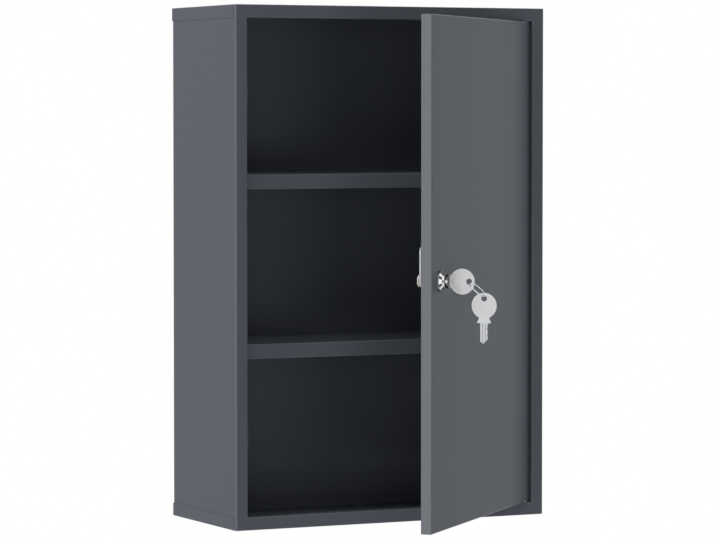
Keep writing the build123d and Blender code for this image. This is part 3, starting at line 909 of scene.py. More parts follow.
@dataclass
class PieceMesh:
    """Collects the faces of one piece in its own flat coordinates, in millimetres.

    Args:
        name: Name of the piece.
        smooth_angle: Edges flatter than this, in degrees, are shaded smooth.
        work: Blender's editable mesh that holds the faces.
    """

    name: str
    smooth_angle: float = 32.0
    work: bmesh.types.BMesh = field(default_factory=bmesh.new)

    def ring(self, corners: Iterable[Sequence[float]]) -> list[bmesh.types.BMVert]:
        """Add corners to the mesh and return them."""
        return [self.work.verts.new(corner) for corner in corners]

    def face(self, corners: Sequence[bmesh.types.BMVert]) -> None:
        """Add a face, leaving out repeated corners.

        Args:
            corners: The corners in order.
        """
        kept = list(dict.fromkeys(corners))
        if len(kept) > 2 and self.work.faces.get(kept) is None:
            self.work.faces.new(kept)

    def skin(self, rings: Sequence[Sequence[bmesh.types.BMVert]], closed: bool = False) -> None:
        """Join rings of corners with faces.

        Args:
            rings: Corners of each ring; a ring of one corner is a pole.
            closed: Whether the last ring joins the first.
        """
        pairs = list(zip(rings, rings[1:]))
        if closed:
            pairs.append((rings[-1], rings[0]))
        for lower, upper in pairs:
            sides = max(len(lower), len(upper))
            for side in range(sides):
                steps = (side, (side + 1) % sides)
                near = [lower[step % len(lower)] for step in steps]
                far = [upper[step % len(upper)] for step in steps]
                self.face([*near, *reversed(far)])

    def lathe(
        self, profile: Sequence[Point2], segments: int, closed: bool = False, shape: Optional[Shape] = None
    ) -> None:
        """Turn a profile round the Z axis.

        Args:
            profile: Radius and height of each point, from one end to the other.
            segments: Faces round the axis.
            closed: Whether the last point joins the first, for a piece with a bore.
            shape: Changes the radius by radius, height and angle, for flats and threads.
        """
        rings = []
        turns = [FULL_TURN * step / segments for step in range(segments)]
        for radius, height in profile:
            if radius < TINY:
                rings.append(self.ring([(0.0, 0.0, height)]))
                continue
            reaches = [shape(radius, height, turn) if shape else radius for turn in turns]
            rings.append(self.ring((reach * math.cos(t), reach * math.sin(t), height)
                                   for reach, t in zip(reaches, turns)))
        self.skin(rings, closed)

    def plate(
        self, outline: Sequence[Point2], holes: Sequence[Sequence[Point2]],
        low: float, high: float, edge: float
    ) -> None:
        """Add a flat plate with softened edges.

        Args:
            outline: Outer corners of the plate in X and Y.
            holes: Corners of each hole.
            low: Height of the lower face.
            high: Height of the upper face.
            edge: Radius of the softened edges.
        """
        curve = bpy.data.curves.new(self.name + "_outline", "CURVE")
        curve.dimensions = "2D"
        curve.fill_mode = "BOTH"
        curve.extrude = (high - low) / 2 - edge
        curve.bevel_depth = edge
        curve.bevel_resolution = 2
        curve.offset = -edge
        for corners in (outline, *holes):
            spline = curve.splines.new("POLY")
            spline.points.add(len(corners) - 1)
            for point, (x, y) in zip(spline.points, corners):
                point.co = (x, y, 0.0, 1.0)
            spline.use_cyclic_u = True
        carrier = bpy.data.objects.new(self.name + "_outline", curve)
        made = bpy.data.meshes.new_from_object(carrier)
        made.transform(Matrix.Translation((0.0, 0.0, (high + low) / 2)))
        self.work.from_mesh(made)
        bpy.data.objects.remove(carrier)
        bpy.data.curves.remove(curve)
        bpy.data.meshes.remove(made)

    def repeat(self, shifts: Sequence[Sequence[float]]) -> None:
        """Repeat everything collected so far at other places.

        Args:
            shifts: Distance to each other place.
        """
        first = self.work.verts[:] + self.work.edges[:] + self.work.faces[:]
        for shift in shifts:
            copies = bmesh.ops.duplicate(self.work, geom=first)
            corners = [item for item in copies["geom"] if isinstance(item, bmesh.types.BMVert)]
            bmesh.ops.translate(self.work, verts=corners, vec=Vector(shift))

    def tidy(self, gap: float = 1e-4) -> None:
        """Weld close corners and make the faces look outward.

        Args:
            gap: Corners nearer than this are welded.
        """
        bmesh.ops.remove_doubles(self.work, verts=self.work.verts, dist=gap)
        bmesh.ops.dissolve_degenerate(self.work, edges=self.work.edges, dist=gap)
        bmesh.ops.recalc_face_normals(self.work, faces=self.work.faces)

    def finish(
        self, placement: Matrix, finish: Finish, body: str, replaces: Iterable[str] = ()
    ) -> bpy.types.Object:
        """Turn the collected faces into a piece of the cabinet.

        Args:
            placement: Takes the piece's own coordinates, in metres, to the shared frame.
            finish: The piece's finish.
            body: The moving body that it rides on.
            replaces: CAD nodes that it stands for.

        Returns:
            The piece.
        """
        self.tidy()
        self.work.transform(placement @ Matrix.Scale(MM, 4))
        for part in self.work.faces:
            part.smooth = True
        for edge in self.work.edges:
            if len(edge.link_faces) == 2:
                edge.smooth = edge.calc_face_angle(0.0) < math.radians(self.smooth_angle)
        mesh = bpy.data.meshes.new(self.name)
        self.work.to_mesh(mesh)
        self.work.free()
        piece = add_object(self.name, mesh)
        mesh.materials.append(finish.material())
        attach(piece, body)
        if replaces:
            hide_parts(*replaces)
        log.info("piece %s: %d faces on %s", self.name, len(mesh.polygons), body)
        return piece


def arc(radius: float, start: float, end: float, steps: int, middle: Point2 = (0.0, 0.0)) -> list[Point2]:
    """List points on an arc.

    Args:
        radius: Radius of the arc.
        start: First angle, in degrees.
        end: Last angle, in degrees.
        steps: Number of runs between the points.
        middle: Centre of the arc.

    Returns:
        The points, both ends included.
    """
    turns = [math.radians(start + (end - start) * step / steps) for step in range(steps + 1)]
    return [(middle[0] + radius * math.cos(t), middle[1] + radius * math.sin(t)) for t in turns]


def circle(radius: float, steps: int = 72, middle: Point2 = (0.0, 0.0)) -> list[Point2]:
    """List the corners of a round outline.

    Args:
        radius: Radius of the circle.
        steps: Number of corners.
        middle: Centre of the circle.

    Returns:
        The corners.
    """
    return arc(radius, 0.0, 360.0, steps, middle)[:-1]


def rectangle(left: float, right: float, half: float) -> list[Point2]:
    """List the corners of a rectangle that lies evenly about the X axis.

    Args:
        left: Its lowest X.
        right: Its highest X.
        half: Half of its size along Y.

    Returns:
        The corners.
    """
    return [(left, -half), (right, -half), (right, half), (left, half)]


def round_corners(corners: Sequence[Point2], radius: float, steps: int = 5) -> list[Point2]:
    """Round the corners of an outline.

    Args:
        corners: The sharp corners in order.
        radius: Radius of each corner.
        steps: Runs in each rounding.

    Returns:
        The rounded outline.
    """
    made: list[Point2] = []
    for number, corner in enumerate(corners):
        here = Vector(corner)
        before = Vector(corners[number - 1]) - here
        after = Vector(corners[(number + 1) % len(corners)]) - here
        reach = radius / math.tan(before.angle(after) / 2)
        start, end = here + before.normalized() * reach, here + after.normalized() * reach
        for step in range(steps + 1):
            share = step / steps
            spot = start * (1 - share) ** 2 + here * 2 * share * (1 - share) + end * share ** 2
            made.append((spot.x, spot.y))
    return made


def keep_side(corners: Sequence[Point2], limit: float, sign: int) -> list[Point2]:
    """Cut an outline at a Y value and keep one side.

    Args:
        corners: Corners of the outline.
        limit: The value.
        sign: 1 to keep what lies above it, -1 to keep what lies below.

    Returns:
        Corners of the part that is kept.
    """
    kept: list[Point2] = []
    for number, corner in enumerate(corners):
        before = corners[number - 1]
        inside, was_inside = [(spot[1] - limit) * sign >= 0.0 for spot in (corner, before)]
        if inside != was_inside:
            share = (limit - before[1]) / (corner[1] - before[1])
            kept.append(tuple(first + (last - first) * share for first, last in zip(before, corner)))
        if inside:
            kept.append(corner)
    return kept


def six_flats(across: float) -> Shape:
    """Make a shape that limits a turned piece to a hexagon with corners on the X axis.

    Args:
        across: Distance across the flats.

    Returns:
        The shape.
    """
    sector = math.radians(60.0)
    return lambda radius, height, turn: min(radius, across / 2 / math.cos(turn % sector - sector / 2))


def flatted_thread(across: float, pitch: float, depth: float, inner: float, high: float) -> Shape:
    """Make a shape that cuts a thread and two flats into a turned piece.

    Args:
        across: Distance across the flats, which face along X.
        pitch: Pitch of the thread.
        depth: Depth of the thread.
        inner: Radii below this, such as a bore, stay as they are.
        high: Heights above this stay as they are.

    Returns:
        The shape.
    """

    def cut(radius: float, height: float, turn: float) -> float:
        """Cut the thread and the flats at one point.

        Args:
            radius: Radius before the cut.
            height: Height of the point.
            turn: Its angle about the axis.

        Returns:
            The radius after the cut.
        """
        if radius < inner or height > high:
            return radius
        phase = (height / pitch - turn / FULL_TURN) % 1.0
        threaded = radius - depth * abs(2.0 * phase - 1.0)
        return min(threaded, across / 2 / max(abs(math.cos(turn)), TINY))

    return cut


def placed(origin: Vector, x_axis: Vector, z_axis: Vector) -> Matrix:
    """Make a placement from an origin and two axes.

    Args:
        origin: Where the piece's own origin goes, in metres.
        x_axis: Direction of its X axis.
        z_axis: Direction of its Z axis.

    Returns:
        The placement.
    """
    x_dir, z_dir = x_axis.normalized(), z_axis.normalized()
    turn = Matrix((x_dir, z_dir.cross(x_dir), z_dir)).transposed().to_4x4()
    return Matrix.Translation(origin) @ turn


# Sub-assemblies


@dataclass
class CabinetBody:
    """The fixed box: side panels, caps, back panel, frame and door stops."""

    body: str = "cabinet"
    sheet_parts: tuple[str, ...] = (
        "left_side_panel", "right_side_panel", "back_panel", "top_cap", "bottom_cap", "door_stop_brackets",
    )
    buffer_radius: float = 3.2
    dome: float = 1.0
    soft: float = 0.4
    stem_radius: float = 1.5
    knob_radius: float = 2.3
    knob_height: float = 1.2
    knob_rim: float = 0.3
    bracket_sheet: float = 0.8

    def build(self) -> None:
        """Dress the panels and add the rubber buffers."""
        dress(self.sheet_parts)
        self.build_buffers()

    def build_buffers(self) -> None:
        """Build the two domed rubber buffers that the door closes against."""
        node = "door_stop_buffers"
        low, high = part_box(node)
        mesh = PieceMesh("door_buffers_moulded")
        radius, soft, dome = self.buffer_radius, self.soft, self.dome
        depth = (high.y - low.y) / MM
        knob = depth - self.knob_height
        seat = knob - self.bracket_sheet
        mesh.lathe([
            (0.0, 0.0), (radius - dome - soft, 0.0), *arc(dome, -90, 0, 5, (radius - dome, dome)),
            (radius, seat - soft), (radius - soft, seat), (self.stem_radius, seat), (self.stem_radius, knob),
            (self.knob_radius, knob), (self.knob_radius, knob + self.knob_rim), (self.stem_radius, depth),
            (0.0, depth),
        ], segments=40)
        mesh.repeat([(0.0, 2 * radius - (high.z - low.z) / MM, 0.0)])
        origin = Vector(((low.x + high.x) / 2, low.y, low.z + radius * MM))
        mesh.finish(placed(origin, Vector((1, 0, 0)), Vector((0, 1, 0))), BUFFER_RUBBER, self.body, (node,))


@dataclass
class Shelving:
    """Two shelves on four ledges."""

    names: tuple[str, ...] = ("upper_shelf", "lower_shelf")

    def build(self) -> None:
        """Dress the shelves and the ledges under them."""
        dress(self.names)
        dress(f"{name}_{side.value}_ledge" for name in self.names for side in SideOfCabinet)


@dataclass
class DoorFrame:
    """Where the door's hinge line and directions are in the stored pose."""

    hinge: Vector = field(default_factory=lambda: Vector(joint("door_hinge")["pos_m"]))
    outward: Vector = field(default_factory=lambda: Vector(joint("lock_turn")["axis"]))

    @property
    def along(self) -> Vector:
        """Direction along the door towards its hinge."""
        return UP.cross(self.outward)

    def at(self, height: float) -> Vector:
        """Return the point of the hinge line at a height in metres."""
        return Vector((self.hinge.x, self.hinge.y, height))


@dataclass
class DoorLeaf:
    """The door's pan with its stiffener and the weld marks that hold it.

    The weld's profile gives shares of its radius with heights in millimetres.
    """

    body: str = "door"
    half_thickness: float = 6.5
    foot_face: float = 1.2
    foot_offset: float = 32.0
    weld_radius: float = 2.6
    weld_profile: tuple[Point2, ...] = (
        (0.0, 0.05), (0.55, 0.06), (0.75, 0.25), (0.9, 0.175), (1.0, 0.0), (0.6, -0.2), (0.0, -0.2),
    )
    welds: int = 6

    def build(self) -> None:
        """Dress the door's sheet parts and add the weld marks."""
        dress(("door_shell", "door_stiffener"), DOOR_PAINT_WITH_PAINTED_LIGHT)
        self.build_welds()

    def build_welds(self) -> None:
        """Add the shallow ringed marks of the spot welds on both feet of the stiffener."""
        door = DoorFrame()
        low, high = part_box("door_stiffener")
        middle = ((low + high) / 2 - door.hinge).dot(door.along) / MM
        pitch = (high.z - low.z) / MM / self.welds
        mesh = PieceMesh("stiffener_weld_marks")
        profile = [(share * self.weld_radius, height) for share, height in self.weld_profile]
        mesh.lathe(profile, segments=28)
        mesh.repeat([(0.0, pitch * step, 0.0) for step in range(1, self.welds)])
        mesh.repeat([(2 * self.foot_offset, 0.0, 0.0)])
        start = door.at(low.z + pitch / 2 * MM)
        start += door.outward * (self.half_thickness - self.foot_face) * MM
        start += door.along * (middle + self.foot_offset) * MM
        mesh.finish(placed(start, -door.along, -door.outward), DOOR_PAINT_WITH_PAINTED_LIGHT, self.body)


@dataclass
class HingeSet:
    """Pins in the rails, bushes and plates in the door."""

    door: DoorFrame = field(default_factory=DoorFrame)
    head_radius: float = 4.0
    head_height: float = 1.5
    head_crown: tuple[Point2, ...] = ((1.1, 0.05), (0.4, 0.3), (0.0, 0.8))
    pin_radius: float = 2.5
    chamfer: float = 0.5
    bush_radius: float = 4.0
    bush_flange_radius: float = 5.0
    bush_length: float = 7.0
    bush_chamfer: float = 0.4
    bush_soft: float = 0.12
    bore_radius: float = 2.55
    bore_soft: float = 0.15
    plate_near: float = 6.2
    plate_length: float = 34.0
    plate_half: float = 5.7
    plate_corner: float = 1.5
    plate_edge: float = 0.2
    plate_play: float = 0.02

    def build(self) -> None:
        """Build the pin, bush and plate at both ends of the door."""
        for end in EndOfDoor:
            self.build_pin(end)
            self.build_bush(end)
            self.build_plate(end)

    def placing(self, end: EndOfDoor, node: str) -> tuple[Matrix, float]:
        """Place a turned piece on the hinge line, from its outer end inward.

        Args:
            end: Which end of the door.
            node: The CAD node that it stands for.

        Returns:
            The placement, and the node's length in millimetres.
        """
        low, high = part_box(node)
        outer = low.z if end is EndOfDoor.LOWER else high.z
        return placed(self.door.at(outer), self.door.along, end.inward), (high.z - low.z) / MM

    def build_pin(self, end: EndOfDoor) -> None:
        """Build a headed pin with a chamfered tip.

        Args:
            end: Which end of the door.
        """
        node = end.value + "_hinge_pin"
        placement, length = self.placing(end, node)
        head, shank, tip = self.head_radius, self.pin_radius, self.chamfer
        mesh = PieceMesh(node + "_turned")
        mesh.lathe([
            (0.0, 0.0), *((head - inset, height) for inset, height in self.head_crown),
            (head, self.head_height), (shank, self.head_height), (shank, length - tip),
            (shank - tip, length), (0.0, length),
        ], segments=48)
        mesh.finish(placement, BRIGHT_STEEL, "cabinet", (node,))

    def build_bush(self, end: EndOfDoor) -> None:
        """Build a flanged bush with softened rims.

        Args:
            end: Which end of the door.
        """
        node = end.value + "_hinge_bush"
        placement, length = self.placing(end, node)
        flange = length - self.bush_length
        rim, wall, bore, soft = self.bush_flange_radius, self.bush_radius, self.bore_radius, self.bush_soft
        mesh = PieceMesh(node + "_moulded")
        mesh.lathe([
            (bore + self.bore_soft, 0.0), (rim - soft, 0.0), (rim, soft), (rim, flange), (wall, flange),
            (wall, length - self.chamfer), (wall - self.bush_chamfer, length), (bore, length),
            (bore, self.bore_soft),
        ], segments=48, closed=True)
        mesh.finish(placement, NYLON, "door", (node,))

    def build_plate(self, end: EndOfDoor) -> None:
        """Build a reinforcing plate with rounded corners and a hole for the bush.

        Args:
            end: Which end of the door.
        """
        node = end.value + "_hinge_plate"
        low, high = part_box(node)
        corners = rectangle(self.plate_near - self.plate_length, self.plate_near, self.plate_half)
        outline = round_corners(corners, self.plate_corner)
        hole = circle(self.bush_radius + self.plate_play, 40)
        mesh = PieceMesh(node + "_pressed")
        mesh.plate(outline, [hole], 0.0, (high.z - low.z) / MM, self.plate_edge)
        mesh.finish(placed(self.door.at(low.z), self.door.along, UP), BRIGHT_STEEL, "door", (node,))


@dataclass
class CamLock:
    """The cam lock, measured along its own axis from the front face of the door.

    Its own coordinates are X along the door, Y up and Z outward, in millimetres.
    """

    flange_radius: float = 11.5
    flange_height: float = 2.6
    cone_end: float = 5.4
    nose_radius: float = 8.5
    head_height: float = 7.8
    recess_radius: float = 7.95
    recess_floor: float = 6.75
    bore_radius: float = 6.05
    barrel_radius: float = 9.0
    barrel_flats: float = 16.0
    barrel_end: float = 17.3
    thread_pitch: float = 1.0
    thread_depth: float = 0.45
    thread_start: float = -0.3
    soft: float = 0.35
    foot_soft: float = 0.15
    cone_soft: float = 0.08
    nose_start: float = 0.1
    run_out: Point2 = (0.1, 0.01)
    thread_wall: float = 1.0
    play: float = 0.05
    rim_start: float = 196.1
    rim_turn: float = 237.7
    rim_inner: float = 7.6
    rim_height: float = 1.3
    rim_overlap: float = 0.2
    rim_edge: float = 0.12
    nut_flats: float = 22.0
    nut_near: float = -0.6
    nut_thickness: float = 4.0
    nut_mouth: float = 0.3
    nut_land: float = 0.2
    nut_fall: float = 0.55
    nut_smooth: float = 24.0
    collar_radius: float = 8.2
    collar_near: float = 7.9
    collar_far: float = 11.8
    collar_edge: float = 0.3
    collar_overlap: float = 0.3
    plug_radius: float = 6.0
    neck_radius: float = 5.5
    neck_near: float = -13.7
    plug_end: float = -17.7
    tail_radius: float = 4.0
    tail_flats: float = 6.4
    tail_pitch: float = 0.8
    tail_thread: float = 0.3
    tail_chamfer: float = 0.6
    tail_lead: float = 0.3
    tail_overlap: float = 0.2
    slot_half: float = 1.2
    wing_slot: float = 15.5
    keyway: float = 8.7
    keyway_end: float = -16.0
    cut_edge: float = 0.02
    washer_radius: float = 7.2
    washer_thickness: float = 1.2
    washer_edge: float = 0.15
    tab_half: float = 2.0
    tab_reach: float = 8.8
    cam_thickness: float = 2.0
    cam_half: float = 8.0
    cam_reach: float = 37.7
    cam_tip: float = 6.0
    cam_edge: float = 0.35
    spring_radius: float = 6.5
    spring_thickness: float = 0.8
    spring_split: float = 1.0
    spring_edge: float = 0.12
    cam_nut_flats: float = 13.0
    cam_nut_thickness: float = 2.5

    def __post_init__(self) -> None:
        """Find the lock's own frame, the heights of the stack behind its plug, and the hole for its tail."""
        turn = joint("lock_turn")
        outward = Vector(turn["axis"])
        self.placement = placed(Vector(turn["pos_m"]), UP.cross(outward), outward)
        self.cam_front = self.plug_end - self.washer_thickness
        self.cam_back = self.cam_front - self.cam_thickness
        self.spring_back = self.cam_back - self.spring_thickness
        self.tail_end = self.spring_back - self.cam_nut_thickness
        self.tail_hole = self.flatted(self.tail_radius + self.play, self.tail_flats + 2 * self.play)

    def build(self) -> None:
        """Build the lock from its housing to the nut on its tail."""
        self.build_housing()
        self.build_nut("lock_nut_cut", "lock_nut", "door", self.nut_flats, self.nut_near, self.nut_thickness,
                       self.barrel_radius)
        self.build_plug()
        dress(("lock_wafers",))
        self.build_stop_washer()
        self.build_cam()
        self.build_spring_washer()
        self.build_nut("cam_nut_cut", "cam_nut", "lock_core", self.cam_nut_flats, self.spring_back,
                       self.cam_nut_thickness, self.tail_radius + self.play)

    def build_housing(self) -> None:
        """Build the coned head, the threaded barrel with two flats and the rim of the stop."""
        mesh = PieceMesh("lock_housing_turned")
        soft, foot, bend, wide, nose = (
            self.soft, self.foot_soft, self.cone_soft, self.flange_radius, self.nose_radius)
        barrel, neck = self.barrel_radius, self.neck_radius + self.play
        depth_out, height_out = self.run_out
        lean = math.degrees(math.atan2(wide - nose, self.cone_end - self.flange_height))
        shoulder = (wide - soft, self.flange_height - soft * math.tan(math.radians(lean / 2)))
        step = self.thread_pitch / 4
        mesh.lathe([
            (wide - foot, 0.0), (wide, foot), *arc(soft, 0, lean, 4, shoulder),
            (nose + bend, self.cone_end - bend), (nose, self.cone_end + self.nose_start),
            *arc(soft, 0, 90, 5, (nose - soft, self.head_height - soft)),
            (self.recess_radius, self.head_height), (self.recess_radius, self.recess_floor),
            (self.bore_radius, self.recess_floor), (self.bore_radius, self.neck_near),
            (neck, self.neck_near), (neck, -self.barrel_end),
            *((barrel, -self.barrel_end + step * ring) for ring in range(int(self.barrel_end / step))),
            (barrel - depth_out, -height_out),
        ], segments=72, closed=True, shape=flatted_thread(
            self.barrel_flats, self.thread_pitch, self.thread_depth, self.bore_radius + self.thread_wall,
            self.thread_start))
        rim_end, half_flat = self.rim_start + self.rim_turn, self.barrel_flats / 2
        outer = [(max(-half_flat, min(half_flat, x)), y) for x, y in arc(barrel, self.rim_start, rim_end, 48)]
        inner = arc(self.rim_inner, rim_end, self.rim_start, 48)
        mesh.plate(outer + inner, [], -self.barrel_end - self.rim_height,
                   -self.barrel_end + self.rim_overlap, self.rim_edge)
        mesh.finish(self.placement, LOCK_CHROME, "door", ("lock_housing",))

    def build_nut(
        self, name: str, node: str, body: str, across: float, near: float, thickness: float, bore: float
    ) -> None:
        """Build a hexagon nut with chamfered corners.

        Args:
            name: Name of the piece.
            node: The CAD node that it stands for.
            body: The body that it rides on.
            across: Distance across its flats.
            near: Height of its upper face.
            thickness: Its thickness.
            bore: Radius of its hole.
        """
        far, reach, flats = near - thickness, across / math.sqrt(3.0), six_flats(across)
        cut, land = self.nut_mouth, across / 2 - self.nut_land
        mouth, fall = bore + cut, (reach - land) * self.nut_fall
        mesh = PieceMesh(name, self.nut_smooth)
        mesh.lathe([
            (mouth, near), (land, near), (reach, near - fall), (reach, far + fall), (land, far),
            (mouth, far), (bore, far + cut), (bore, near - cut),
        ], segments=72, closed=True, shape=lambda radius, height, turn: (
            flats(radius, height, turn) if radius > mouth + self.play else radius))
        mesh.finish(self.placement, ZINC_PLATE, body, (node,))

    def flatted(self, radius: float, across: float, steps: int = 12) -> list[Point2]:
        """Outline a round section with two flats that face along X.

        Args:
            radius: Radius of the round parts.
            across: Distance across the flats.
            steps: Runs in each round part.

        Returns:
            The outline's corners.
        """
        edge = math.degrees(math.acos(across / 2 / radius))
        upper = arc(radius, edge, 180 - edge, steps)
        return upper + [(-x, -y) for x, y in upper]

    def build_plug(self) -> None:
        """Build the plug: slotted collar, body with its keyway, neck and threaded tail."""
        mesh = PieceMesh("lock_plug_cut")
        slot, fine, end = self.slot_half, self.cut_edge, self.plug_end
        wing_hole = rectangle(-slot, slot, self.wing_slot / 2)
        key_hole = rectangle(-slot, slot, self.keyway / 2)
        mesh.plate(circle(self.collar_radius, 96), [wing_hole], self.collar_near, self.collar_far,
                   self.collar_edge)
        edge = math.degrees(math.asin(slot / self.plug_radius))
        half = arc(self.plug_radius, -90 + edge, 90 - edge, 24)
        top = self.collar_near + self.collar_overlap
        for side in (-1, 1):
            mesh.plate([(side * x, y) for x, y in half], [], self.recess_floor, top, fine)
        mesh.plate(circle(self.plug_radius), [key_hole], self.neck_near, self.recess_floor, fine)
        mesh.plate(circle(self.neck_radius), [key_hole], self.keyway_end, self.neck_near, fine)
        mesh.lathe([
            (0.0, self.keyway_end), (self.neck_radius, self.keyway_end), (self.neck_radius, end), (0.0, end),
        ], segments=48)
        step, tail, root = self.tail_pitch / 4, self.tail_radius, end + self.tail_overlap
        rings = range(int((end - self.tail_end) / step))
        mesh.lathe([
            (0.0, self.tail_end), (tail - self.tail_chamfer, self.tail_end),
            *((tail, self.tail_end + self.tail_lead + step * ring) for ring in rings),
            (tail, root), (0.0, root),
        ], segments=48, shape=flatted_thread(
            self.tail_flats, self.tail_pitch, self.tail_thread, self.thread_wall, end))
        mesh.finish(self.placement, PLUG_NICKEL, "lock_core", ("lock_plug",))

    def press(
        self, name: str, node: str, outline: Sequence[Point2], holes: Sequence[Sequence[Point2]],
        low: float, high: float, edge: float
    ) -> None:
        """Press a flat piece of the turning stack from zinc-plated sheet.

        Args:
            name: Name of the piece.
            node: The CAD node that it stands for.
            outline: Its outer corners.
            holes: Corners of each hole.
            low: Height of its lower face.
            high: Height of its upper face.
            edge: Radius of its softened edges.
        """
        mesh = PieceMesh(name)
        mesh.plate(outline, holes, low, high, edge)
        mesh.finish(self.placement, ZINC_PLATE, "lock_core", (node,))

    def build_stop_washer(self) -> None:
        """Build the washer whose tab limits the turn."""
        edge = math.degrees(math.asin(self.tab_half / self.washer_radius))
        outline = arc(self.washer_radius, 90 + edge, 450 - edge, 60)
        outline += [(self.tab_half, self.tab_reach), (-self.tab_half, self.tab_reach)]
        self.press("stop_washer_pressed", "lock_stop_washer", outline, [self.tail_hole],
                   self.cam_front, self.plug_end, self.washer_edge)

    def build_cam(self) -> None:
        """Build the cam with its rounded tip and softened edges."""
        tip, half, far = self.cam_tip, self.cam_half, self.cam_reach
        outline = arc(half, 180, 360, 36)
        outline += arc(tip, 0, 90, 12, (half - tip, far - tip))
        outline += arc(tip, 90, 180, 12, (tip - half, far - tip))
        self.press("lock_cam_pressed", "lock_cam", outline, [self.tail_hole],
                   self.cam_back, self.cam_front, self.cam_edge)

    def build_spring_washer(self) -> None:
        """Build the split washer between the cam and its nut."""
        outer, inner = self.spring_radius, self.tail_radius + self.play
        wide, narrow = [math.degrees(math.asin(self.spring_split / 2 / reach)) for reach in (outer, inner)]
        outline = arc(outer, wide, 360 - wide, 60) + arc(inner, 360 - narrow, narrow, 48)
        self.press("spring_washer_bent", "cam_washer", outline, [],
                   self.spring_back, self.cam_back, self.spring_edge)


